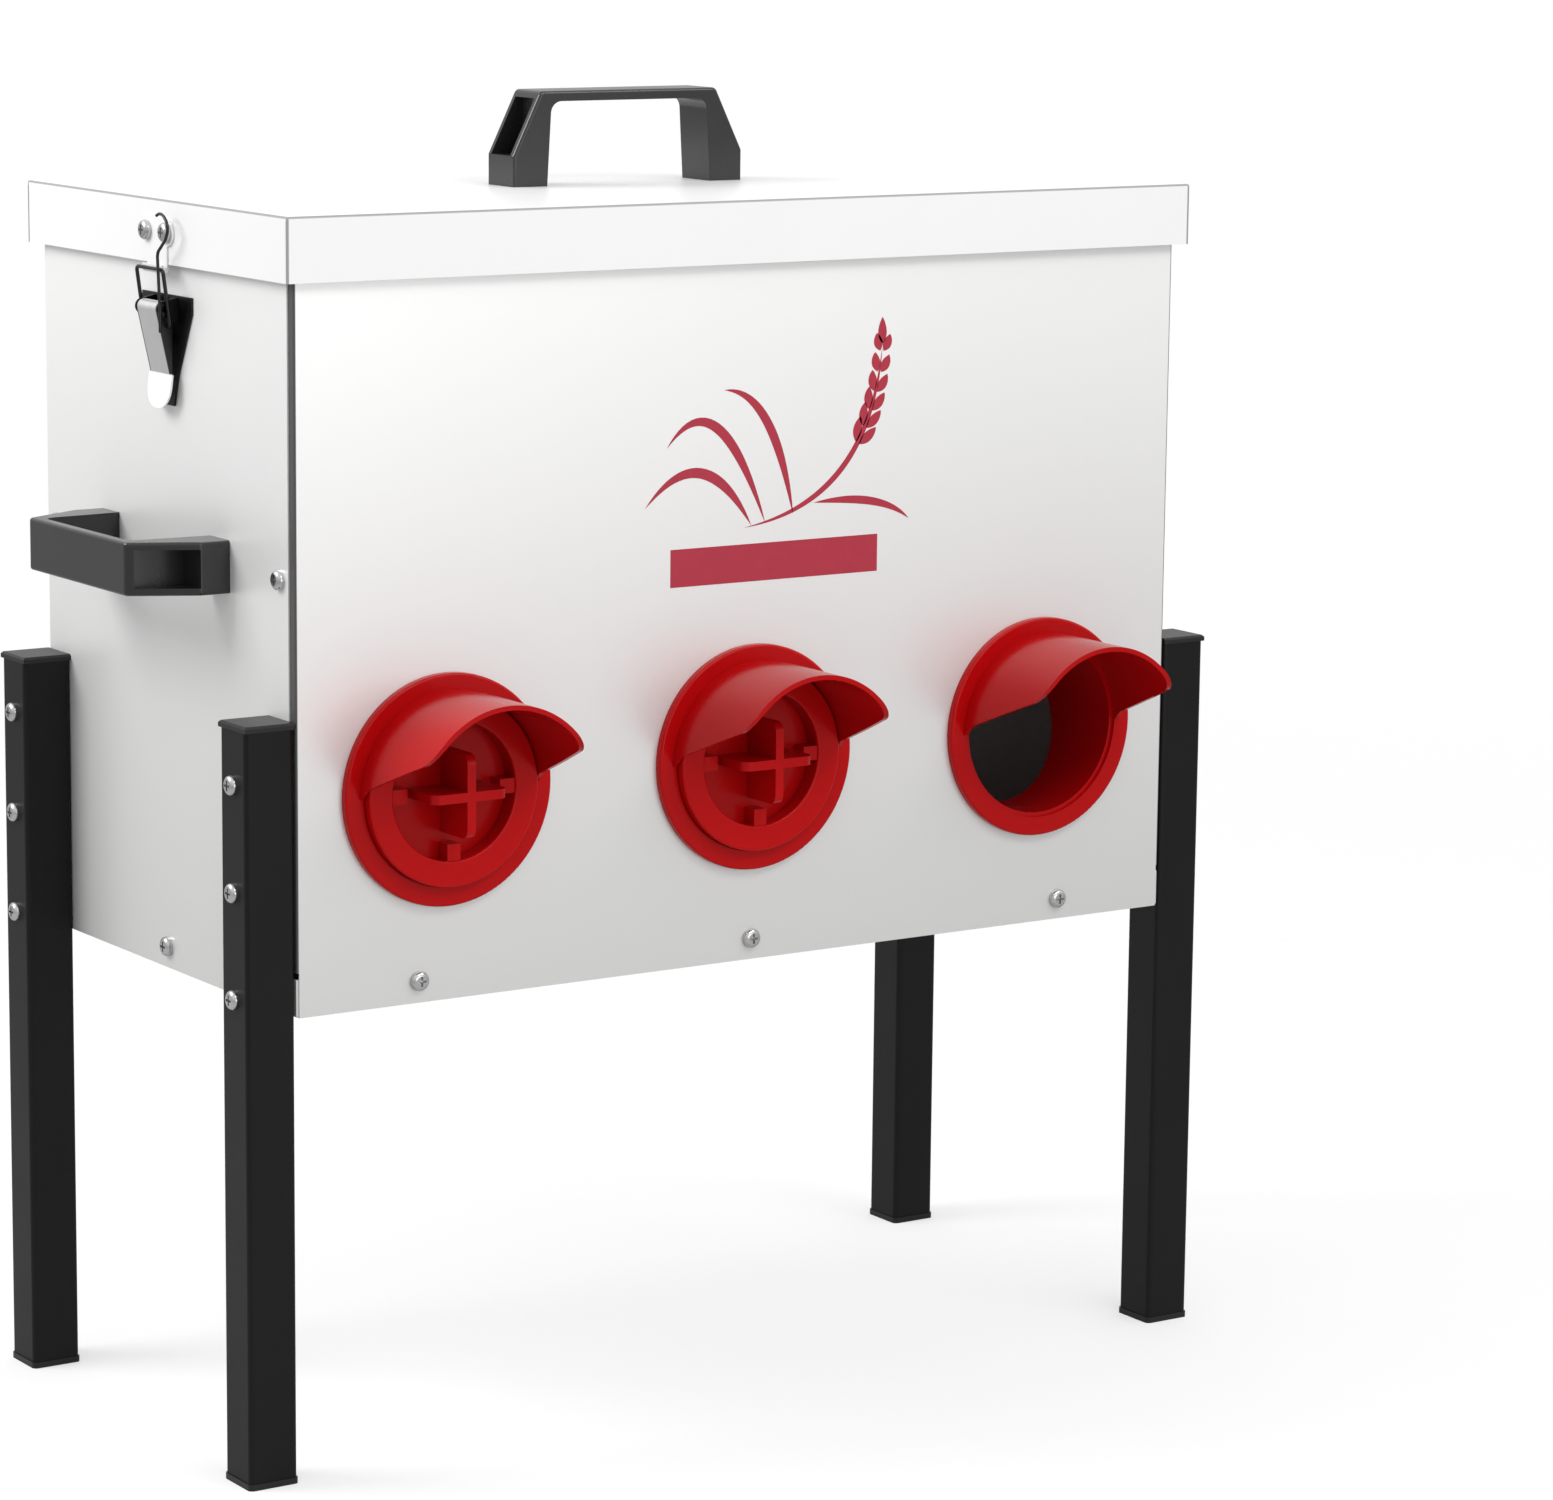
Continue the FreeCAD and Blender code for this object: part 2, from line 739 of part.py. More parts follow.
def port_plug(doc, d, name, step):
    """A thin-walled dished plug: rim, skirt, well, four ribs and a cross grip."""
    body = new_body(doc, f"port_plug_{name}")
    rim_back = d.flange_proud - d.seat_depth + PLUG_SEAT_GAP
    wall = d.plug_wall
    section = sketch_on(body, "section", "XZ_Plane")
    outline(
        section,
        [
            (0, WELL_FLOOR),
            (0, WELL_FLOOR - wall),
            (d.plug_well + wall, WELL_FLOOR - wall),
            (d.plug_well + wall, d.plug_proud - wall),
            (d.plug_skirt - wall, d.plug_proud - wall),
            (d.plug_skirt - wall, -d.plug_skirt_inside),
            (d.plug_skirt, -d.plug_skirt_inside),
            (d.plug_skirt, rim_back),
            (d.plug_radius, rim_back),
            (d.plug_radius, d.plug_proud),
            (d.plug_well, d.plug_proud),
            (d.plug_well, WELL_FLOOR),
        ],
    )
    revolve(body, section)
    fillet(body, PLUG_ROUND, [(0, d.plug_radius, d.plug_proud), (0, d.plug_well, d.plug_proud)])
    add_plug_ribs(body, d)
    add_plug_grip(body, d)
    place_in_front(body, d, step)
    return body


def add_plug_ribs(body, d):
    """Four stiffening ribs round the well, level with the rim's rounding."""
    ribs = sketch_on(body, "ribs", "XY_Plane", WELL_FLOOR - d.plug_wall / 2)
    outer = d.plug_well + d.plug_wall / 2
    inner = d.plug_well - d.rib_length
    half = d.rib_width / 2
    for end in (-1, 1):
        rectangle(ribs, inner * end, -half, outer * end, half)
        rectangle(ribs, -half, inner * end, half, outer * end)
    pad(body, ribs, d.plug_proud - PLUG_ROUND - WELL_FLOOR + d.plug_wall / 2)


def add_plug_grip(body, d):
    """Two crossed bars, with rounded outer corners, that a hand turns and pulls."""
    start = WELL_FLOOR - d.plug_wall / 2
    half_span = d.grip_span / 2
    half_bar = d.grip_bar / 2
    for name, reach_x, reach_y in (
        ("grip_across", half_span, half_bar),
        ("grip_upright", half_bar, half_span),
    ):
        bar = sketch_on(body, name, "XY_Plane", start)
        rectangle(bar, -reach_x, -reach_y, reach_x, reach_y)
        pad(body, bar, d.grip_front - start)
    front = d.grip_front
    ends = [(half_span * end, 0, front) for end in (-1, 1)]
    ends += [(0, half_span * end, front) for end in (-1, 1)]
    fillet(body, GRIP_ROUND, ends)


PLUG_SEAT_GAP = 0.4
PLUG_ROUND = 1.0
WELL_FLOOR = -1.0
GRIP_ROUND = 5.0

# ---------------------------------------------------------------- handles


def bridge_handle(doc, d, label):
    """A bridge handle lying along X with its feet on Z = 0 and a pocket in each shoulder."""
    body = new_body(doc, label)
    half = d.handle_length / 2
    half_top = d.handle_top / 2
    foot = half - d.handle_foot
    side = foot - HANDLE_DRAFT
    under = d.handle_height - d.handle_bar
    turn = HANDLE_INNER_ROUND
    profile = sketch_on(body, "side_view", "XZ_Plane")
    outline(
        profile,
        [
            (-half, 0),
            (-foot, 0),
            (-side, under - turn, -turn),
            (turn - side, under),
            (side - turn, under, -turn),
            (side, under - turn),
            (foot, 0),
            (half, 0),
            (half, d.handle_shoulder),
            (half_top, d.handle_height),
            (-half_top, d.handle_height),
            (-half, d.handle_shoulder),
        ],
    )
    pad(body, profile, d.handle_width, both=True)
    top_corners = [(half_top * end, 0, d.handle_height) for end in (-1, 1)]
    shoulders = [(half * end, 0, d.handle_shoulder) for end in (-1, 1)]
    fillet(body, HANDLE_CORNER, top_corners + shoulders)
    long_edges = [(0, d.handle_width / 2 * end, d.handle_height) for end in (-1, 1)]
    fillet(body, HANDLE_EDGE, long_edges)
    add_shoulder_pockets(body, d, side, half, under)
    holes = sketch_on(body, "screw_holes", "XY_Plane")
    for end in (-1, 1):
        circle(holes, d.handle_screw_span / 2 * end, 0, d.shank_radius)
    pocket(body, holes, HANDLE_SCREW_DEPTH, forwards=True)
    return body


def add_shoulder_pockets(body, d, side, half, under):
    """Hollow both shoulders from their slanting outer faces."""
    pockets = sketch_on(body, "shoulder_pockets", "XZ_Plane")
    inner = side + HANDLE_WALL
    for end in (-1, 1):
        outline(
            pockets,
            [
                (inner * end, d.handle_shoulder),
                ((half + HANDLE_WALL) * end, d.handle_shoulder),
                ((half + HANDLE_WALL) * end, under + HANDLE_WALL / 2),
                (inner * end, under + HANDLE_WALL / 2),
            ],
        )
    pocket(body, pockets, d.handle_pocket, both=True)


HANDLE_DRAFT = 2.0
HANDLE_INNER_ROUND = 6.0
HANDLE_CORNER = 3.0
HANDLE_EDGE = 1.5
HANDLE_WALL = 3.0
HANDLE_SCREW_DEPTH = 12.0


def side_turn(side):
    """The turn that stands a piece drawn on Z = 0 off a side panel, its X along Y."""
    sign = SIDES[side]
    return Rotation(Vector(0, sign, 0), Vector(0, 0, 1), Vector(sign, 0, 0), "ZXY")


def handles(doc, d):
    top = bridge_handle(doc, d, "top_handle")
    place(top, 0, d.hopper_back, d.lid_top)
    made = [top]
    for side, sign in SIDES.items():
        handle = bridge_handle(doc, d, f"side_handle_{side}")
        place(handle, d.box_width / 2 * sign, d.hopper_back, d.side_handle_height, side_turn(side))
        made.append(handle)
    return made


# ---------------------------------------------------------------- toggle latches
# Each latch is drawn for the right side: X out of the panel, Z up from the lever's pin.

RIVET_SHANK = 1.6
RIVET_HEAD = 2.6
RIVET_PROUD = 1.2
RIVET_GAP = 0.1
RIVET_DROPS = (15.0, 40.0)
EAR_PLATE = 1.0
EAR_GAP = 0.3
EAR_RIM = 1.3
EAR_RISE = 6.0
PIN_HEAD = 0.8
PIN_HEAD_RIM = 0.7
PIN_HOLLOW = 1.6
PIN_HOLLOW_DEPTH = 3.0


def latch_y(d):
    """The latches stand a little in front of the hopper's middle."""
    return in_box(d, -d.latch_forward)


def place_on_side(obj, d, side, out=0, rise=0, lean=0):
    """Put a latch piece on its side panel, level with the latch pin plus a rise."""
    turn = Rotation(Vector(0, 1, 0), lean)
    if side == "left":
        turn = HALF_TURN.multiply(turn)
    x = (d.box_width / 2 + out) * SIDES[side]
    place(obj, x, latch_y(d), d.latch_height + rise, turn)


def ear_half(d):
    """Half the distance over the two ears, which stand outside the lever's cheeks."""
    return d.lever_width / 2 + EAR_GAP + EAR_PLATE


def latch_base(doc, d, side):
    """The tapering plate riveted to the side panel, with two ears for the lever's pin."""
    body = new_body(doc, f"latch_base_{side}")
    half = d.latch_base_width / 2
    waist = half * 0.44
    foot = half * 0.26
    waist_drop = d.latch_base_drop * 0.68
    plate = sketch_on(body, "plate", "YZ_Plane")
    outline(
        plate,
        [
            (-half, EAR_RISE),
            (-half, -PIN_HOLLOW),
            (-waist, -waist_drop),
            (-foot, -d.latch_base_drop),
            (foot, -d.latch_base_drop),
            (waist, -waist_drop),
            (half, -PIN_HOLLOW),
            (half, EAR_RISE),
        ],
    )
    pad(body, plate, EAR_PLATE)
    ears = sketch_on(body, "ears", "XZ_Plane")
    boss = d.latch_pin_radius + EAR_RIM
    outline(
        ears,
        [
            (EAR_PLATE / 2, -EAR_RISE),
            (EAR_PLATE * 2, -EAR_RISE),
            (d.latch_pin_out, -boss, boss),
            (d.latch_pin_out + boss, 0, boss),
            (d.latch_pin_out, boss),
            (EAR_PLATE * 2, EAR_RISE - EAR_PLATE),
            (EAR_PLATE / 2, EAR_RISE - EAR_PLATE),
        ],
    )
    pad(body, ears, ear_half(d) * 2, both=True)
    between = sketch_on(body, "between_ears", "XZ_Plane")
    rectangle(between, EAR_PLATE, -EAR_RISE * 2, d.latch_pin_out * 2, EAR_RISE * 2)
    pocket(body, between, (ear_half(d) - EAR_PLATE) * 2, both=True)
    pin_hole = sketch_on(body, "pin_hole", "XZ_Plane")
    circle(pin_hole, d.latch_pin_out, 0, d.latch_pin_radius + d.pin_gap)
    pocket(body, pin_hole)
    rivet_holes = sketch_on(body, "rivet_holes", "YZ_Plane")
    for drop in RIVET_DROPS:
        circle(rivet_holes, 0, -drop, RIVET_SHANK + RIVET_GAP)
    pocket(body, rivet_holes)
    place_on_side(body, d, side)
    return body


# The lever's bent face in side view, as distances out of the panel and up from the pin.
LEVER_BEND = (4.6, -31.0)
LEVER_TIP = (6.6, -47.0)
LEVER_TIP_WIDTH = 23.0
LEVER_TIP_ROUND = 10.0
LEVER_ROLL_TURNS = (75.0, 165.0, 250.0)
CHEEK_BACK = 3.4
CHEEK_DROP = 4.3


def lever_lean(d):
    """The angle, from upright, of the lever's face, which is tangent to the roll."""
    out = d.latch_pin_out.value - LEVER_BEND[0]
    rise = -LEVER_BEND[1]
    return math.atan2(out, rise) + math.asin(roll_radius(d) / math.hypot(out, rise))


def roll_radius(d):
    """The outer radius of the face plate where it is rolled round the pin."""
    return (d.latch_pin_radius + d.pin_gap + d.lever_plate).value


def round_pin(d, radius, degrees):
    """A point round the pin at an angle above the outward direction."""
    turn = math.radians(degrees)
    return (d.latch_pin_out.value + radius * math.cos(turn), radius * math.sin(turn))


def latch_lever(doc, d, side):
    """The lever: a face plate rolled round its pin, two cheeks and a rounded finger tip."""
    body = new_body(doc, f"latch_lever_{side}")
    thick = d.lever_plate
    outer = roll_radius(d)
    inner = outer - thick.value
    start = -math.degrees(lever_lean(d))
    turns = (start,) + LEVER_ROLL_TURNS
    back = thick * 1.03
    corners = [(*round_pin(d, outer, turns[-1 - step]), -outer) for step in range(3)]
    corners += [round_pin(d, outer, start), LEVER_BEND, (LEVER_BEND[0] - back, LEVER_BEND[1])]
    corners += [(*round_pin(d, inner, turns[step]), inner) for step in range(3)]
    corners.append(round_pin(d, inner, turns[-1]))
    face = sketch_on(body, "rolled_face", "XZ_Plane")
    outline(face, corners)
    pad(body, face, d.lever_width, both=True)
    tip = sketch_on(body, "finger_tip", "XZ_Plane")
    outline(
        tip,
        [
            LEVER_BEND,
            LEVER_TIP,
            (LEVER_TIP[0] - thick, LEVER_TIP[1]),
            (LEVER_BEND[0] - back, LEVER_BEND[1]),
        ],
    )
    pad(body, tip, LEVER_TIP_WIDTH, both=True)
    pocket(body, lever_tip_corners(body))
    half = d.lever_width / 2
    cheeks = sketch_on(body, "cheeks", "XZ_Plane")
    at_top = face_out(d, -CHEEK_DROP) - thick / 2
    outline(
        cheeks,
        [
            (at_top, -CHEEK_DROP),
            (CHEEK_BACK + thick, -CHEEK_DROP),
            (CHEEK_BACK, LEVER_BEND[1] / 3),
            (LEVER_BEND[0] - thick, LEVER_BEND[1]),
            (LEVER_BEND[0] - thick / 2, LEVER_BEND[1]),
        ],
    )
    pad(body, cheeks, d.lever_width, both=True)
    between = sketch_on(body, "between_cheeks", "XZ_Plane")
    beyond = LEVER_TIP[0]
    outline(
        between,
        [
            (at_top - thick / 2, -CHEEK_DROP),
            (-beyond, -CHEEK_DROP),
            (-beyond, LEVER_BEND[1]),
            (LEVER_BEND[0] - back, LEVER_BEND[1]),
        ],
    )
    pocket(body, between, (half - thick) * 2, both=True)
    holes = sketch_on(body, "bail_holes", "XZ_Plane")
    circle(holes, d.bail_pivot_out, -d.bail_pivot_drop, d.bail_wire + d.pin_gap)
    pocket(body, holes)
    place_on_side(body, d, side)
    return body


def face_out(d, height):
    """How far out of the panel the lever's outer face is at a height."""
    return LEVER_BEND[0] + (height - LEVER_BEND[1]) * math.tan(lever_lean(d))


def lever_tip_corners(body):
    """Front view of the two corners that are cut off to round the finger tip."""
    sketch = sketch_on(body, "tip_corners", "YZ_Plane")
    turn = LEVER_TIP_ROUND
    half = LEVER_TIP_WIDTH / 2
    end_z = LEVER_TIP[1]
    for end in (-1, 1):
        outline(
            sketch,
            [
                (half * end, end_z + turn, -turn * end),
                ((half - turn) * end, end_z),
                ((half - turn) * end, end_z - 1),
                ((half + 1) * end, end_z - 1),
                ((half + 1) * end, end_z + turn),
            ],
        )
    return sketch


def latch_pin(doc, d, side):
    """The lever's pin, a tubular rivet with a flat head outside each ear."""
    body = new_body(doc, f"latch_pin_{side}")
    shank = sketch_on(body, "shank", "XZ_Plane")
    circle(shank, d.latch_pin_out, 0, d.latch_pin_radius)
    pad(body, shank, ear_half(d) * 2 + PIN_HEAD, both=True)
    for end in (-1, 1):
        head = sketch_on(body, "head", "XZ_Plane", ear_half(d) * end)
        circle(head, d.latch_pin_out, 0, d.latch_pin_radius + PIN_HEAD_RIM)
        pad(body, head, PIN_HEAD, backwards=end < 0)
    for end in (-1, 1):
        hollow = sketch_on(body, "hollow", "XZ_Plane", (ear_half(d) + PIN_HEAD) * end)
        circle(hollow, d.latch_pin_out, 0, PIN_HOLLOW)
        pocket(body, hollow, PIN_HOLLOW_DEPTH, forwards=end < 0)
    place_on_side(body, d, side)
    return body


def latch_bail(doc, d, side):
    """The wire loop between the lever's cheeks and the keeper's hook."""
    body = new_body(doc, f"latch_bail_{side}")
    out = d.bail_bar_out - d.bail_pivot_out
    rise = d.bail_rise
    lean = math.degrees(math.atan2(out.value, rise.value))
    length = math.hypot(out.value, rise.value)
    half = d.bail_width / 2
    tight = BAIL_BENDS[0]
    wide = BAIL_BENDS[1]
    end = d.lever_width / 2 - d.lever_plate
    path = sketch_on(body, "path", "YZ_Plane")
    outline(
        path,
        [
            (end, 0),
            (half - tight, 0, tight),
            (half, tight),
            (half, length - wide, wide),
            (half - wide, length),
            (wide - half, length, wide),
            (-half, length - wide),
            (-half, tight, tight),
            (tight - half, 0),
            (-end, 0),
        ],
        closed=False,
    )
    section = sketch_on(body, "wire", "XZ_Plane", -end)
    circle(section, 0, 0, d.bail_wire)
    pipe = body.newObject("PartDesign::AdditivePipe", "bent_wire")
    pipe.Profile = section
    pipe.Spine = (path, [f"Edge{index + 1}" for index in range(9)])
    place_on_side(body, d, side, d.bail_pivot_out, -d.bail_pivot_drop, lean)
    return body


BAIL_BENDS = (1.6, 2.4)


def latch_keeper(doc, d, side):
    """The hooked plate screwed to the lid's skirt."""
    body = new_body(doc, f"latch_keeper_{side}")
    skirt = d.lid_overhang
    half = d.keeper_screw_spacing / 2
    lobe = KEEPER_LOBE
    plate = sketch_on(body, "plate", "YZ_Plane", skirt)
    outline(
        plate,
        [
            (-half, -lobe),
            (-HOOK_WIDTH / 2, HOOK_TOP - d.keeper_screw_rise),
            (HOOK_WIDTH / 2, HOOK_TOP - d.keeper_screw_rise),
            (half, -lobe, lobe),
            (half + lobe, 0, lobe),
            (half, lobe),
            (-half, lobe, lobe),
            (-half - lobe, 0, lobe),
        ],
    )
    pad(body, plate, d.keeper_plate)
    hook = sketch_on(body, "hook", "XZ_Plane")
    inner = HOOK_BEND
    outer = HOOK_BEND + d.keeper_plate
    bend = HOOK_TOP - d.keeper_screw_rise - 1.0
    near = skirt + d.keeper_plate
    middle = near + inner
    outline(
        hook,
        [
            (skirt, bend, outer),
            (middle, bend - outer, outer),
            (middle + outer, bend),
            (middle + outer, bend + HOOK_LIP),
            (middle + inner, bend + HOOK_LIP),
            (middle + inner, bend, -inner),
            (middle, bend - inner, -inner),
            (near, bend),
            (near, bend + HOOK_LIP),
            (skirt, bend + HOOK_LIP),
        ],
    )
    pad(body, hook, HOOK_WIDTH, both=True)
    holes = sketch_on(body, "screw_holes", "YZ_Plane", skirt)
    for end in (-1, 1):
        circle(holes, half * end, 0, d.shank_radius + d.hole_gap)
    pocket(body, holes)
    place_on_side(body, d, side, 0, d.keeper_screw_rise)
    return body


KEEPER_LOBE = 6.5
HOOK_WIDTH = 20.0
HOOK_TOP = 19.0
HOOK_BEND = 0.9
HOOK_LIP = 2.2


def latches(doc, d):
    made = []
    for side in SIDES:
        made.append(latch_base(doc, d, side))
        made.append(latch_lever(doc, d, side))
        made.append(latch_pin(doc, d, side))
        made.append(latch_bail(doc, d, side))
        made.append(latch_keeper(doc, d, side))
    return made


# ---------------------------------------------------------------- fasteners
# Each master is drawn once about Z, head up, with the clamped surface at Z = 0. A
# group's solids are links to its master, so identical fasteners are one node.


def pan_screw(doc, d, name, length):
    """A pan-head screw with a cross recess."""
    body = new_body(doc, name)
    head = sketch_on(body, "head", "XY_Plane")
    circle(head, 0, 0, d.head_radius)
    pad(body, head, d.head_height)
    fillet(body, d.head_height * 0.7, [(0, d.head_radius, d.head_height)])
    shank = sketch_on(body, "shank", "XY_Plane")
    circle(shank, 0, 0, d.shank_radius)
    pad(body, shank, length, backwards=True)
    recess = sketch_on(body, "recess", "XY_Plane", d.head_height)
    slot = d.head_radius * 0.11
    reach = d.head_radius * 0.5
    turns = [(slot, slot), (reach, slot), (reach, -slot), (slot, -slot)]
    turns += [(slot, -reach), (-slot, -reach), (-slot, -slot), (-reach, -slot)]
    turns += [(-reach, slot), (-slot, slot), (-slot, reach), (slot, reach)]
    outline(recess, turns)
    pocket(body, recess, d.head_height * 0.55)
    return body


def hex_nut(doc, d, name, thickness):
    """A plain hexagon nut hanging under Z = 0."""
    body = new_body(doc, name)
    across = d.nut_flats / 2
    corner = d.nut_flats / math.sqrt(3)
    half = corner / 2
    profile = sketch_on(body, "hexagon", "XY_Plane")
    outline(
        profile,
        [
            (corner, 0),
            (half, across),
            (-half, across),
            (-corner, 0),
            (-half, -across),
            (half, -across),
        ],
    )
    circle(profile, 0, 0, d.shank_radius + NUT_THREAD_GAP / 2)
    pad(body, profile, thickness, backwards=True)
    return body


def rivet(doc, name, plate):
    """A low domed rivet."""
    body = new_body(doc, name)
    head = sketch_on(body, "head", "XY_Plane")
    circle(head, 0, 0, RIVET_HEAD)
    pad(body, head, RIVET_PROUD)
    fillet(body, RIVET_PROUD * 0.8, [(0, RIVET_HEAD, RIVET_PROUD)])
    shank = sketch_on(body, "shank", "XY_Plane")
    circle(shank, 0, 0, RIVET_SHANK)
    pad(body, shank, EAR_PLATE + plate, backwards=True)
    tail = sketch_on(body, "tail", "XY_Plane", -(EAR_PLATE + plate))
    circle(tail, 0, 0, RIVET_HEAD)
    pad(body, tail, RIVET_PROUD, backwards=True)
    return body


def group(doc, label, master, places):
    """One node of separate solids: a link to the master at each place and direction."""
    links = []
    for index, (x, y, z, direction) in enumerate(places):
        link = doc.addObject("App::Link", f"{label}_{index + 1}")
        link.LinkedObject = master
        place(link, x, y, z, facing(direction))
        links.append(link)
    compound = doc.addObject("Part::Compound", label)
    compound.Label = label
    compound.Links = links
    return compound


def leg_fixings(d, inset):
    """Where the leg screws cross a surface that lies `inset` outside the side panels."""
    places = []
    for sign in SIDES.values():
        for end in ("front", "rear"):
            for step in range(3):
                x = (d.box_width / 2 + inset) * sign
                z = d.leg_screw_top - d.leg_screw_pitch * step
                places.append((x, leg_y(d, end), z, (sign, 0, 0)))
    return places


def panel_fixings(d, depth):
    """Where the hopper's own screws cross a surface `depth` under the outer faces."""
    places = []
    for out in (-1, 1):
        y = in_box(d, (d.box_depth / 2 - depth) * out)
        for step in (-1, 0, 1):
            places.append((d.floor_screw_spacing * step, y, d.floor_screw_height, (0, out, 0)))
    for sign in SIDES.values():
        x = (d.box_width / 2 - depth) * sign
        places.append((x, d.hopper_back, d.floor_screw_height, (sign, 0, 0)))
        for end in (-1, 1):
            y = in_box(d, (d.box_depth / 2 - d.seam_screw_back) * end)
            places.append((x, y, d.seam_screw_height, (sign, 0, 0)))
    return places


def side_handle_fixings(d):
    places = []
    for sign in SIDES.values():
        x = (d.box_width / 2 - d.plate) * sign
        for end in (-1, 1):
            y = in_box(d, d.handle_screw_span / 2 * end)
            places.append((x, y, d.side_handle_height, (-sign, 0, 0)))
    return places


def top_handle_fixings(d):
    under = d.lid_top - d.plate
    return [(d.handle_screw_span / 2 * end, d.hopper_back, under, (0, 0, -1)) for end in (-1, 1)]


def keeper_fixings(d, out):
    places = []
    for sign in SIDES.values():
        for end in (-1, 1):
            x = (d.box_width / 2 + out) * sign
            y = latch_y(d) + d.keeper_screw_spacing / 2 * end
            places.append((x, y, d.latch_height + d.keeper_screw_rise, (sign, 0, 0)))
    return places


def rivet_fixings(d):
    places = []
    for sign in SIDES.values():
        for drop in RIVET_DROPS:
            x = (d.box_width / 2 + EAR_PLATE) * sign
            places.append((x, latch_y(d), d.latch_height - drop, (sign, 0, 0)))
    return places


def fasteners(doc, d):
    skins = d.plate * 2
    spare = 1.0
    thread = skins + d.nut_height + spare
    short_screw = pan_screw(doc, d, "short_screw", thread)
    leg_screw = pan_screw(doc, d, "leg_screw", d.leg_width + thread)
    handle_screw = pan_screw(doc, d, "handle_screw", d.plate + HANDLE_SCREW_DEPTH - spare)
    keeper_out = d.lid_overhang + d.keeper_plate
    keeper_screw = pan_screw(doc, d, "keeper_screw", skins + d.thin_nut_height + spare / 2)
    nut = hex_nut(doc, d, "nut", d.nut_height)
    thin_nut = hex_nut(doc, d, "thin_nut", d.thin_nut_height)
    latch_rivet = rivet(doc, "latch_rivet", d.plate)
    return [
        group(doc, "leg_screws", leg_screw, leg_fixings(d, d.leg_width)),
        group(doc, "leg_nuts", nut, leg_fixings(d, -skins)),
        group(doc, "panel_screws", short_screw, panel_fixings(d, 0)),
        group(doc, "panel_nuts", nut, panel_fixings(d, skins)),
        group(doc, "side_handle_screws", handle_screw, side_handle_fixings(d)),
        group(doc, "top_handle_screws", handle_screw, top_handle_fixings(d)),
        group(doc, "keeper_screws", keeper_screw, keeper_fixings(d, keeper_out)),
        group(doc, "keeper_nuts", thin_nut, keeper_fixings(d, d.lid_overhang - d.plate)),
        group(doc, "latch_rivets", latch_rivet, rivet_fixings(d)),
    ]


# ---------------------------------------------------------------- whole feeder


def build(doc, d):
    """Every sub-part, as document objects whose labels are the nodes' names."""
    made = [front_panel(doc, d), rear_panel(doc, d), floor_tray(doc, d), lid(doc, d)]
    for side in SIDES:
        made.append(side_panel(doc, d, side))
        for end in ("front", "rear"):
            made.append(leg(doc, d, side, end))
            made.append(leg_cap(doc, d, side, end))
            made.append(leg_foot(doc, d, side, end))
    for name, step in (("left", -1), ("middle", 0), ("right", 1)):
        made.append(feed_port(doc, d, name, step))
        made.append(port_nut(doc, d, name, step))
    for name, step in (("left", -1), ("middle", 0)):
        made.append(port_plug(doc, d, name, step))
    made += handles(doc, d)
    made += latches(doc, d)
    made += fasteners(doc, d)
    return made


def check_document(doc, made):
    """Stop if any object failed or any sub-part's shape is missing or unsound."""
    failed = [obj.Name for obj in doc.Objects if {"Invalid", "Error"} & set(obj.State)]
    for obj in made:
        if obj.Shape.isNull() or not obj.Shape.isValid():
            failed.append(obj.Label)
    if failed:
        raise RuntimeError(f"these objects failed: {failed}")


def export(made):
    os.makedirs("parts", exist_ok=True)
    for obj in made:
        obj.Shape.exportStep(f"parts/{obj.Label}.step")


def main():
    doc = FreeCAD.newDocument("poultry_feeder")
    made = build(doc, make_sheet(doc))
    doc.recompute()
    check_document(doc, made)
    export(made)
    print(f"{len(made)} nodes written")


main()
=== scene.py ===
import json
import math

import bmesh
import bpy
from mathutils import Matrix, Vector

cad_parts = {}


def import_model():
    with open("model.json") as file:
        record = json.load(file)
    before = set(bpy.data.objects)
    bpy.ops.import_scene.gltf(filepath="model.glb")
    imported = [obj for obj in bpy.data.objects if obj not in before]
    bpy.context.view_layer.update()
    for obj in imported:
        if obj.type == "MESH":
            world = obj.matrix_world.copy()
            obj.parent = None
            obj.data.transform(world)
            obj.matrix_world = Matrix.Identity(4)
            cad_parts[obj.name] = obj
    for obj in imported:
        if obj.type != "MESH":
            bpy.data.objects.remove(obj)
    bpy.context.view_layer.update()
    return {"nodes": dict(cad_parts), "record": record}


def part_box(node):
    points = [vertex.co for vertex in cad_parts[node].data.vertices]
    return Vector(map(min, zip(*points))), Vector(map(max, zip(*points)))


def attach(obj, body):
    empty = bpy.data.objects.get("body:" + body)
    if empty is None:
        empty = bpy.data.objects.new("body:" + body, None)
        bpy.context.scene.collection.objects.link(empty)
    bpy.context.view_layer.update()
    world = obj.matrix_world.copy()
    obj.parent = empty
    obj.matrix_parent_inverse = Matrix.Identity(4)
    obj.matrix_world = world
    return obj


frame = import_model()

# Looks for the gravity poultry feeder: a satin sheet-metal hopper on black legs, with red
# feed ports. Everything is in metres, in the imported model's own frame: +Z up, ports at -Y.

# The camera, fitted to the viewing angle of the reference. Angles are in degrees.
VIEW_AZIMUTH = -33.8
VIEW_ELEVATION = 10.12
VIEW_ROLL = 0.63
VIEW_DISTANCE = 2.672
VIEW_TARGET = Vector((0.0991, 0.027, 0.2965))
LENS_MM = 120.63
SENSOR_MM = 36.0

PANEL_LOW, PANEL_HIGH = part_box("front_panel")
LID_LOW, LID_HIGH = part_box("lid")

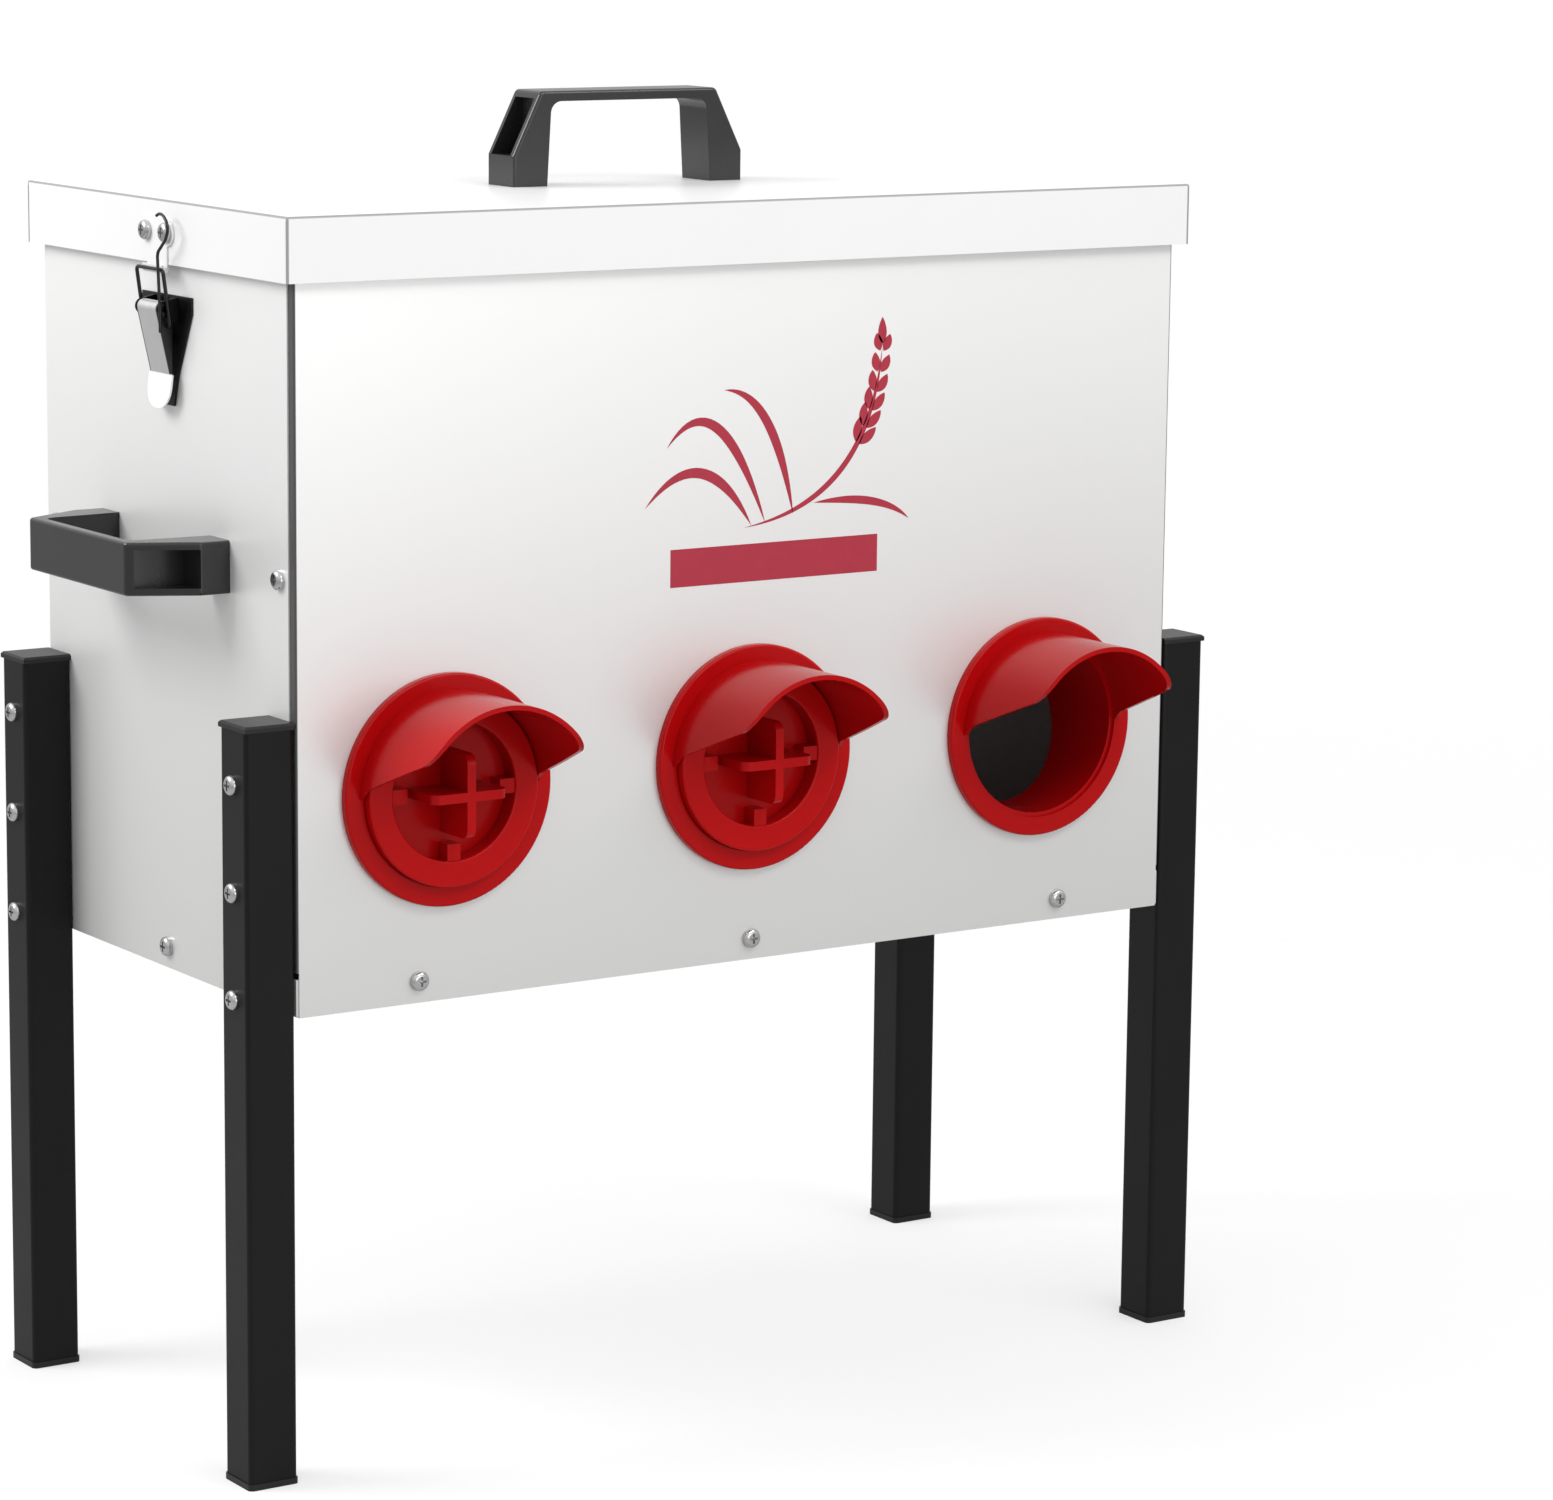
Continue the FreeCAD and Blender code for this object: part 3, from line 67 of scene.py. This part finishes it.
# Dark lines on the sheet: their widths and tones. The seam line is painted shade, standing
# in for the shaded recess at the front panel's side edges.
SEAM_WIDTH = 0.0008
SEAM_SHADE_TONE = 0.08
HAIRLINE_WIDTH = 0.0008
HAIRLINE_TONE = 0.26

# The share of the sheet's tone that is left at the hopper's foot: painted shade, darkening
# the colour downwards where the light falls off.
SHEET_FOOT_PAINTED_SHADE = 0.68

# Where the lever's colour changes: the height of its tip, lightened below it as a painted
# highlight, and its cheeks' distance off centre, darkened beyond it as painted shade.
LEVER_TIP_HEIGHT = 0.016
LEVER_TIP_BLEND = 0.0006
LEVER_CHEEK_FROM = 0.009
LEVER_CHEEK_BLEND = 0.0005

# Scale of the slow waves in the sheet, and how strongly they show.
SHEET_WAVE = 14.0
SHEET_WAVE_HEIGHT = 0.0003
SHEET_WAVE_STRENGTH = 0.2

# The prints on the front panel: a bar and a sprig above it, as (x, z) places.
PRINT_THICKNESS = 0.0001
BANNER_CENTRE = (0.012, 0.4164)
BANNER_HALF = (0.0596, 0.0091)
STALK_FOOT = Vector((-0.006, 0.4335))
STALK_KNEE = Vector((0.066, 0.442))
STALK_TOP = Vector((0.073, 0.516))
STALK_WIDTH = 0.003
# Each leaf: its start, control and end points, and its width.
LEAVES = (
    ((-0.002, 0.4345), (-0.030, 0.482), (-0.062, 0.446), 0.0052),
    ((0.006, 0.4352), (-0.022, 0.510), (-0.050, 0.474), 0.0050),
    ((0.022, 0.4385), (0.010, 0.500), (-0.018, 0.500), 0.0048),
    ((0.034, 0.4430), (0.074, 0.446), (0.090, 0.432), 0.0040),
)
# The ear: where its pairs of grains start and how far they reach, as shares of the stalk.
EAR_FROM = 0.62
EAR_REACH = 0.36
GRAIN_PAIRS = 6
GRAIN_LENGTH = 0.0135
GRAIN_SHRINK = 0.0007
GRAIN_WIDTH = 0.005
GRAIN_GAP = 0.0018
GRAIN_TURN = 0.55
GRAIN_FULLEST = 0.45
GRAIN_STEPS = 12
TOP_GRAIN = (0.002, 0.015)

# The wire loop on each bail, as (y, z) places from the pin's centre, from its foot up.
LOOP_RADIUS = 0.00075
LOOP_CLEARANCE = 0.0009
LOOP_RUN = (
    (-0.0138, -0.0105),
    (-0.0136, 0.0010),
    (-0.0126, 0.0140),
    (-0.0120, 0.0210),
    (-0.0122, 0.0262),
    (-0.0158, 0.0296),
    (-0.0205, 0.0338),
    (-0.0222, 0.0385),
    (-0.0196, 0.0428),
    (-0.0146, 0.0446),
    (-0.0112, 0.0436),
)
WELD_DISTANCE = 0.00001

# The studio. The floor covers by a share that fades out between two distances. The world
# lights the object by one strength at a low height and another at a high one, while the
# camera sees a plain backdrop.
FLOOR_SIZE = 6.0
FLOOR_COVER = 0.45
FLOOR_FADE = (0.5, 2.2)
WORLD_HEIGHTS = (-0.5, 0.6)
WORLD_STRENGTHS = (0.26, 1.1)
BACKDROP_STRENGTH = 1.0
# Each softbox: its name, place, target, size and power in watts.
SOFTBOXES = (
    ("key", (0.3, -0.95, 1.35), (0, 0, 0.45), (1.2, 0.4), 8),
    ("front_fill", (0.1, -2.0, 0.5), (0, 0, 0.4), (1.6, 0.8), 6.5),
    ("side_fill", (-1.3, 0.6, 1.35), (-0.25, 0.03, 0.45), (0.8, 0.8), 20),
)


# ------------------------------------------------------------------ material helpers


class Nodes:
    """A short way to build one material's node tree."""

    def __init__(self, name):
        self.material = bpy.data.materials.new(name)
        self.material.use_nodes = True
        self.tree = self.material.node_tree
        self.shader = self.tree.nodes["Principled BSDF"]

    def add(self, kind, inputs=None, **settings):
        """A new node; inputs maps socket names or numbers to values or sockets."""
        node = self.tree.nodes.new(kind)
        for key, value in settings.items():
            setattr(node, key, value)
        for key, value in (inputs or {}).items():
            self.feed(node.inputs[key], value)
        return node

    def feed(self, socket, value):
        if isinstance(value, bpy.types.NodeSocket):
            self.tree.links.new(value, socket)
        else:
            socket.default_value = value

    def math(self, operation, first, second=0.0, clamp=False):
        inputs = {0: first, 1: second}
        node = self.add("ShaderNodeMath", inputs, operation=operation, use_clamp=clamp)
        return node.outputs[0]

    def vary(self, texture, amount, base):
        """A base value, raised by a texture's share of an amount."""
        return self.math("ADD", self.math("MULTIPLY", texture, amount), base)

    def distance(self, coordinate, middle):
        """How far a coordinate is from a middle value."""
        return self.math("ABSOLUTE", self.math("SUBTRACT", coordinate, middle))

    def ramp(self, value, low, high, out_low=0.0, out_high=1.0):
        """A clamped straight ramp from one range to another."""
        inputs = {"Value": value, "From Min": low, "From Max": high}
        inputs.update({"To Min": out_low, "To Max": out_high})
        return self.add("ShaderNodeMapRange", inputs).outputs["Result"]

    def place(self):
        """The object coordinates, which are the part's own frame in metres."""
        return self.add("ShaderNodeTexCoord").outputs["Object"]

    def axes(self):
        """The three object coordinates of a point, one socket each."""
        split = self.add("ShaderNodeSeparateXYZ", {0: self.place()})
        return split.outputs["X"], split.outputs["Y"], split.outputs["Z"]

    def stretched(self, scale):
        """The object coordinates, scaled differently along each axis."""
        node = self.add("ShaderNodeMapping", {"Vector": self.place(), "Scale": scale})
        return node.outputs["Vector"]

    def noise(self, scale, detail, vector=None):
        inputs = {"Vector": vector or self.place(), "Scale": scale, "Detail": detail}
        return self.add("ShaderNodeTexNoise", inputs).outputs["Fac"]

    def mix(self, factor, first, second):
        """A mix of two colours."""
        node = self.add("ShaderNodeMix", data_type="RGBA")
        for index, value in ((0, factor), (6, first), (7, second)):
            self.feed(node.inputs[index], value)
        return node.outputs[2]

    def bump(self, height, distance, strength, under=None):
        """A bumped normal, laid over another one where that is given."""
        inputs = {"Height": height, "Distance": distance, "Strength": strength}
        if under is not None:
            inputs["Normal"] = under
        return self.add("ShaderNodeBump", inputs).outputs["Normal"]

    def finish(self, **sockets):
        """Set the shader's sockets, given by name with _ for a space."""
        for key, value in sockets.items():
            self.feed(self.shader.inputs[key.replace("_", " ")], value)
        return self.material


def grey(value, tint=(1.0, 1.0, 1.0)):
    return (value * tint[0], value * tint[1], value * tint[2], 1.0)


def near_line(nodes, coordinate, at, width):
    """One on a line across a coordinate, falling to zero a width away."""
    return nodes.ramp(nodes.distance(coordinate, at), width / 2, width, 1.0, 0.0)


# ------------------------------------------------------------------ materials


def edge_lines(nodes, low, high, width):
    """One on the upright edges of a box and round its top edge."""
    x, y, z = nodes.axes()
    inset = width / 2
    middle = (low + high) / 2
    half = (high - low) / 2
    side_x = near_line(nodes, nodes.distance(x, middle.x), half.x - inset, width)
    side_y = near_line(nodes, nodes.distance(y, middle.y), half.y - inset, width)
    corner = nodes.math("MULTIPLY", side_x, side_y)
    top = near_line(nodes, z, high.z - inset, width)
    bend = nodes.math("MULTIPLY", top, nodes.math("MAXIMUM", side_x, side_y))
    return nodes.math("MAXIMUM", bend, corner, clamp=True)


def sheet_metal(name, value, metallic, roughness, seam=False):
    """Satin coated sheet: fine rolled grain, slight waves, and painted shade darkening it
    toward the foot.
    """
    nodes = Nodes(name)
    cloud = nodes.noise(scale=9.0, detail=4.0)
    grain = nodes.noise(scale=900.0, detail=2.0, vector=nodes.stretched((1.0, 1.0, 0.05)))
    wave = nodes.noise(scale=SHEET_WAVE, detail=1.0)
    x, _, z = nodes.axes()
    # Painted shade: the colour darkens toward the hopper's foot, where the light falls off.
    low = nodes.ramp(z, PANEL_LOW.z, PANEL_HIGH.z, 1.0, 0.0)
    clean = nodes.mix(cloud, grey(value * 0.97), grey(value, (1.0, 1.0, 0.99)))
    colour = nodes.mix(low, clean, grey(value * SHEET_FOOT_PAINTED_SHADE, (1.0, 1.0, 0.99)))
    # Painted shade: the front panel's side edges, in the recess at the seam, are darkened
    # near black.
    if seam:
        from_middle = nodes.math("ABSOLUTE", x)
        line = near_line(nodes, from_middle, PANEL_HIGH.x - SEAM_WIDTH / 2, SEAM_WIDTH)
        colour = nodes.mix(line, colour, grey(SEAM_SHADE_TONE))
    fine = nodes.bump(grain, distance=0.00001, strength=0.25)
    return nodes.finish(
        Base_Color=colour,
        Metallic=metallic,
        Roughness=nodes.vary(grain, 0.08, roughness),
        Normal=nodes.bump(wave, SHEET_WAVE_HEIGHT, SHEET_WAVE_STRENGTH, under=fine),
    )


def lid_metal():
    """The same sheet with a dark hairline where the skirts meet and along the top bend."""
    nodes = Nodes("lid_sheet")
    cloud = nodes.noise(scale=9.0, detail=4.0)
    plain = nodes.mix(cloud, grey(0.74), grey(0.77))
    line = edge_lines(nodes, LID_LOW, LID_HIGH, HAIRLINE_WIDTH)
    grain = nodes.noise(scale=900.0, detail=2.0, vector=nodes.stretched((0.05, 1.0, 1.0)))
    wave = nodes.noise(scale=SHEET_WAVE, detail=1.0)
    return nodes.finish(
        Base_Color=nodes.mix(line, plain, grey(HAIRLINE_TONE)),
        Metallic=0.1,
        Roughness=nodes.vary(grain, 0.02, 0.36),
        Normal=nodes.bump(wave, SHEET_WAVE_HEIGHT, SHEET_WAVE_STRENGTH),
    )


def powder_coat(name, value, roughness, shine):
    """Black powder coat or textured plastic: a fine orange peel under faint smudges."""
    nodes = Nodes(name)
    peel = nodes.noise(scale=700.0, detail=2.0)
    smudge = nodes.noise(scale=22.0, detail=4.0)
    colour = nodes.mix(smudge, grey(value * 0.8), grey(value * 1.25, (1.0, 1.0, 1.03)))
    return nodes.finish(
        Base_Color=colour,
        Roughness=nodes.vary(smudge, 0.12, roughness - 0.06),
        Specular_IOR_Level=shine,
        Normal=nodes.bump(peel, distance=0.00004, strength=0.5),
    )


def red_plastic(name, colour, roughness):
    """Glossy moulded red: slight flow marks and a faint surface ripple."""
    nodes = Nodes(name)
    flow = nodes.noise(scale=18.0, detail=3.0)
    dark = tuple(part * 0.85 for part in colour[:3]) + (1.0,)
    mixed = nodes.mix(flow, dark, colour)
    ripple = nodes.noise(scale=60.0, detail=2.0)
    return nodes.finish(
        Base_Color=mixed,
        Roughness=nodes.vary(flow, 0.08, roughness - 0.04),
        Specular_IOR_Level=0.13,
        Normal=nodes.bump(ripple, distance=0.0002, strength=0.15),
    )


def plated(name, value, roughness):
    """Plated steel, faintly clouded."""
    nodes = Nodes(name)
    cloud = nodes.noise(scale=160.0, detail=3.0)
    colour = nodes.mix(cloud, grey(value * 0.85), grey(value))
    return nodes.finish(
        Base_Color=colour,
        Metallic=1.0,
        Roughness=nodes.vary(cloud, 0.1, roughness),
        Normal=nodes.bump(cloud, distance=0.00005, strength=0.3),
    )


def printed(name, colour):
    """Screen-printed ink: slightly uneven cover and a soft sheen."""
    nodes = Nodes(name)
    cover = nodes.noise(scale=120.0, detail=4.0)
    dark = tuple(part * 0.8 for part in colour[:3]) + (1.0,)
    return nodes.finish(
        Base_Color=nodes.mix(cover, dark, colour),
        Roughness=nodes.ramp(cover, 0.3, 0.7, 0.38, 0.5),
        Normal=nodes.bump(cover, distance=0.00003, strength=0.3),
    )


def lever_steel_painted_light():
    """Plated lever: a satin face, with painted shade making the cheeks near black and a
    painted highlight lightening the finger tip.
    """
    nodes = Nodes("lever_steel_painted_light")
    _, y, z = nodes.axes()
    low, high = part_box("latch_lever_left")
    middle = (low.y + high.y) / 2
    bend = low.z + LEVER_TIP_HEIGHT
    outer = nodes.distance(y, middle)
    # Painted shade: the cheeks, beyond a distance off centre, turn near black.
    cheek_painted_shade = nodes.ramp(outer, LEVER_CHEEK_FROM, LEVER_CHEEK_FROM + LEVER_CHEEK_BLEND)
    above = bend + LEVER_TIP_BLEND
    face = nodes.ramp(z, bend, above)
    cloud = nodes.noise(scale=160.0, detail=3.0)
    satin = nodes.mix(cloud, grey(0.58), grey(0.64))
    # Painted highlight: the finger tip, below the bend, is lightened.
    tip_painted_highlight = nodes.mix(cloud, grey(0.88), grey(0.95))
    colour = nodes.mix(face, tip_painted_highlight, nodes.mix(cheek_painted_shade, satin, grey(0.03)))
    return nodes.finish(
        Base_Color=colour,
        Metallic=nodes.ramp(z, bend, above, 0.3, 0.7),
        Roughness=nodes.ramp(cloud, 0.3, 0.7, 0.28, 0.36),
        Normal=nodes.bump(cloud, distance=0.00004, strength=0.3),
    )


# Both sheets carry painted shade darkening them toward the foot.
PANEL = sheet_metal("panel_sheet", value=0.88, metallic=0.4, roughness=0.32)
# The front sheet also carries a painted shade line along its side edges.
FRONT = sheet_metal("front_sheet", value=0.88, metallic=0.4, roughness=0.32, seam=True)
LID = lid_metal()
TUBE = powder_coat("leg_tube_coat", value=0.004, roughness=0.42, shine=0.18)
CAP = powder_coat("cap_plastic", value=0.012, roughness=0.38, shine=0.25)
HANDLE = powder_coat("handle_plastic", value=0.009, roughness=0.26, shine=0.6)
PORT = red_plastic("port_plastic", colour=(0.40, 0.002, 0.003, 1.0), roughness=0.22)
PLUG = red_plastic("plug_plastic", colour=(0.44, 0.002, 0.003, 1.0), roughness=0.22)
LEVER = lever_steel_painted_light()
# Painted shade: the latch bases and pins are plated steel given a near-black colour for the
# shade round the latch.
BASE_PAINTED_SHADE = plated("base_steel_painted_shade", value=0.03, roughness=0.32)
WIRE = plated("wire_steel", value=0.05, roughness=0.3)
ZINC = plated("zinc_plate", value=0.55, roughness=0.16)
INK = printed("decal_ink", colour=(0.38, 0.012, 0.035, 1.0))

# The material of each CAD slot, and of the nodes that have one of their own.
FINISHES = {
    "sheet_metal": PANEL,
    "leg_tube": TUBE,
    "black_plastic": CAP,
    "handle_black": HANDLE,
    "port_red": PORT,
    "plug_red": PLUG,
    "latch_plate": LEVER,
    "latch_wire": WIRE,
    "zinc_fastener": ZINC,
}
NODE_FINISHES = {
    "lid": LID,
    "front_panel": FRONT,
    "latch_keeper_left": LID,
    "latch_keeper_right": LID,
    "latch_base_left": BASE_PAINTED_SHADE,
    "latch_base_right": BASE_PAINTED_SHADE,
    "latch_pin_left": BASE_PAINTED_SHADE,
    "latch_pin_right": BASE_PAINTED_SHADE,
}


def finish_nodes():
    """Give every CAD node its own material, or the one of its slot."""
    slots = {part["node"]: part["material_slot"] for part in frame["record"]["subparts"]}
    for name, node in frame["nodes"].items():
        material = NODE_FINISHES.get(name, FINISHES[slots[name]])
        node.data.materials.clear()
        node.data.materials.append(material)


# ------------------------------------------------------------------ added pieces


def new_object(name, data):
    """An object made from its data, linked into the scene."""
    made = bpy.data.objects.new(name, data)
    bpy.context.scene.collection.objects.link(made)
    return made


def mesh_object(name, mesh, material):
    """An object made from a bmesh, which is used up."""
    data = bpy.data.meshes.new(name)
    mesh.to_mesh(data)
    mesh.free()
    data.materials.append(material)
    return new_object(name, data)


def add_piece(name, mesh, material, body):
    """A bmesh as a piece that rides on a body."""
    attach(mesh_object(name, mesh, material), body)


# ------------------------------------------------------------------ printed decals


def flat_piece(name, outlines, material):
    """A thin closed print on the front panel from outlines of (x, z) points."""
    mesh = bmesh.new()
    for points in outlines:
        ring = [mesh.verts.new((x, PANEL_LOW.y, z)) for x, z in points]
        mesh.faces.new(ring)
    grown = bmesh.ops.extrude_face_region(mesh, geom=mesh.faces[:])
    front = [part for part in grown["geom"] if isinstance(part, bmesh.types.BMVert)]
    bmesh.ops.translate(mesh, verts=front, vec=(0, -PRINT_THICKNESS, 0))
    bmesh.ops.recalc_face_normals(mesh, faces=mesh.faces)
    add_piece(name, mesh, material, "root")


def banner():
    """A plain bar, without lettering."""
    centre_x, centre_z = BANNER_CENTRE
    half_x, half_z = BANNER_HALF
    corners = [(-1, -1), (1, -1), (1, 1), (-1, 1)]
    points = [(centre_x + half_x * x, centre_z + half_z * z) for x, z in corners]
    flat_piece("printed_banner", [points], INK)


def along(start, control, end, t):
    """A point on the curve that leaves start towards control and arrives at end."""
    first = start.lerp(control, t)
    second = control.lerp(end, t)
    return first.lerp(second, t)


def blade(start, control, end, width, fullest=0.4, steps=24):
    """A pointed leaf along a curve: its outline, widest at a share of its length."""
    left = []
    right = []
    for step in range(1, steps):
        t = step / steps
        ahead = along(start, control, end, min(t + 0.01, 1.0))
        behind = along(start, control, end, max(t - 0.01, 0.0))
        side = (ahead - behind).normalized().orthogonal()
        share = t / fullest if t < fullest else (1 - t) / (1 - fullest)
        half = width / 2 * math.sin(share * math.pi / 2) ** 0.8
        point = along(start, control, end, t)
        left.append(point + side * half)
        right.append(point - side * half)
    return [start] + left + [end] + right[::-1]


def grain(start, control, end):
    return blade(start, control, end, GRAIN_WIDTH, GRAIN_FULLEST, GRAIN_STEPS)


def grain_sprig():
    """A sprig of wheat: a bowed stalk, four long leaves and an ear of grains."""
    stalk = (STALK_FOOT, STALK_KNEE, STALK_TOP)
    blades = [blade(*stalk, STALK_WIDTH, fullest=0.5, steps=40)]
    for start, control, end, width in LEAVES:
        blades.append(blade(Vector(start), Vector(control), Vector(end), width))
    for index in range(GRAIN_PAIRS):
        t = EAR_FROM + EAR_REACH * index / (GRAIN_PAIRS - 1)
        root = along(*stalk, t)
        ahead = (along(*stalk, t + 0.01) - root).normalized()
        size = GRAIN_LENGTH - GRAIN_SHRINK * index
        for turn in (-GRAIN_TURN, GRAIN_TURN):
            aim = Matrix.Rotation(turn, 2) @ ahead
            start = root + aim * GRAIN_GAP
            bulge = root + aim * size * 0.6 + ahead * size * 0.05
            tip = root + aim * size * 0.75 + ahead * size * 0.35
            blades.append(grain(start, bulge, tip))
    first, last = (STALK_TOP + Vector((0.0, rise)) for rise in TOP_GRAIN)
    blades.append(grain(first, (STALK_TOP + last) / 2, last))
    flat_piece("printed_grain_sprig", blades, INK)


# ------------------------------------------------------------------ bent wires


def bent_wire(name, points, radius, material, body):
    """A round wire along a smooth run of points, closed by round caps."""
    curve = bpy.data.curves.new(name, "CURVE")
    curve.dimensions = "3D"
    curve.bevel_depth = radius
    curve.bevel_resolution = 3
    curve.resolution_u = 8
    curve.use_fill_caps = True
    spline = curve.splines.new("BEZIER")
    spline.bezier_points.add(len(points) - 1)
    for knot, point in zip(spline.bezier_points, points):
        knot.co = point
        knot.handle_left_type = knot.handle_right_type = "AUTO"
    draft = bpy.data.objects.new(name, curve)
    data = bpy.data.meshes.new_from_object(draft)
    mesh = bmesh.new()
    mesh.from_mesh(data)
    bmesh.ops.remove_doubles(mesh, verts=mesh.verts, dist=WELD_DISTANCE)
    bmesh.ops.recalc_face_normals(mesh, faces=mesh.faces)
    bpy.data.objects.remove(draft)
    bpy.data.curves.remove(curve)
    bpy.data.meshes.remove(data)
    for face in mesh.faces:
        face.smooth = True
    add_piece(name, mesh, material, body)


def bail_loop(side):
    """The open wire loop beside the bail, which rounds the front keeper screw."""
    sign = -1 if side == "left" else 1
    low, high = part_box("latch_bail_" + side)
    pin_low, pin_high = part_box("latch_pin_" + side)
    pin_z = (pin_low.z + pin_high.z) / 2
    pin_y = (pin_low.y + pin_high.y) / 2
    outside = max(abs(low.x), abs(high.x)) + LOOP_CLEARANCE
    points = [(sign * outside, pin_y + y, pin_z + z) for y, z in LOOP_RUN]
    bent_wire("bail_loop_" + side, points, LOOP_RADIUS, WIRE, "latch_bail_" + side)


# ------------------------------------------------------------------ studio


def floor():
    """A pale, part see-through sheet that fades out, lightened by the backdrop."""
    nodes = Nodes("floor_paper")
    tone = nodes.mix(nodes.noise(scale=3.0, detail=2.0), grey(0.78), grey(0.8))
    away = nodes.add("ShaderNodeVectorMath", {0: nodes.place()}, operation="LENGTH")
    cover = nodes.ramp(away.outputs["Value"], *FLOOR_FADE, FLOOR_COVER, 0.0)
    paper = nodes.finish(Base_Color=tone, Roughness=0.8, Alpha=cover)
    mesh = bmesh.new()
    bmesh.ops.create_grid(mesh, x_segments=1, y_segments=1, size=FLOOR_SIZE)
    mesh_object("floor", mesh, paper)


def softbox(name, place, target, size, power):
    """A rectangular lamp aimed at a target, unseen by the camera."""
    light = bpy.data.lights.new(name, "AREA")
    light.shape = "RECTANGLE"
    light.size, light.size_y = size
    light.energy = power
    lamp = new_object(name, light)
    lamp.location = place
    aim = Vector(target) - Vector(place)
    lamp.rotation_euler = aim.to_track_quat("-Z", "Y").to_euler()
    lamp.visible_camera = False


def world():
    """A plain white backdrop, whose light on the object dims downwards."""
    made = bpy.data.worlds.new("studio")
    bpy.context.scene.world = made
    made.use_nodes = True
    tree = made.node_tree
    background = tree.nodes["Background"]
    coordinates = tree.nodes.new("ShaderNodeTexCoord")
    split = tree.nodes.new("ShaderNodeSeparateXYZ")
    tree.links.new(coordinates.outputs["Generated"], split.inputs[0])
    ramp = tree.nodes.new("ShaderNodeMapRange")
    ends = ("From Min", "From Max", "To Min", "To Max")
    for name, value in zip(ends, WORLD_HEIGHTS + WORLD_STRENGTHS):
        ramp.inputs[name].default_value = value
    tree.links.new(split.outputs["Z"], ramp.inputs["Value"])
    path = tree.nodes.new("ShaderNodeLightPath")
    strength = tree.nodes.new("ShaderNodeMix")
    tree.links.new(path.outputs["Is Camera Ray"], strength.inputs["Factor"])
    tree.links.new(ramp.outputs["Result"], strength.inputs["A"])
    strength.inputs["B"].default_value = BACKDROP_STRENGTH
    tree.links.new(strength.outputs["Result"], background.inputs["Strength"])
    background.inputs["Color"].default_value = grey(1.0)


def camera():
    """The camera on its fitted line of sight, turned by its roll."""
    data = bpy.data.cameras.new("camera")
    data.sensor_width = SENSOR_MM
    data.lens = LENS_MM
    data.clip_end = 100.0
    eye = new_object("camera", data)
    azimuth = math.radians(VIEW_AZIMUTH)
    elevation = math.radians(VIEW_ELEVATION)
    back = Vector(
        (
            math.sin(azimuth) * math.cos(elevation),
            -math.cos(azimuth) * math.cos(elevation),
            math.sin(elevation),
        )
    )
    level = (-back).to_track_quat("-Z", "Y").to_matrix()
    roll = Matrix.Rotation(math.radians(VIEW_ROLL), 3, "Z")
    eye.matrix_world = (level @ roll).to_4x4()
    eye.location = VIEW_TARGET + back * VIEW_DISTANCE
    bpy.context.scene.camera = eye


def studio():
    floor()
    world()
    for box in SOFTBOXES:
        softbox(*box)
    bpy.context.scene.view_settings.view_transform = "Standard"


finish_nodes()
banner()
grain_sprig()
bail_loop("left")
bail_loop("right")
studio()
camera()
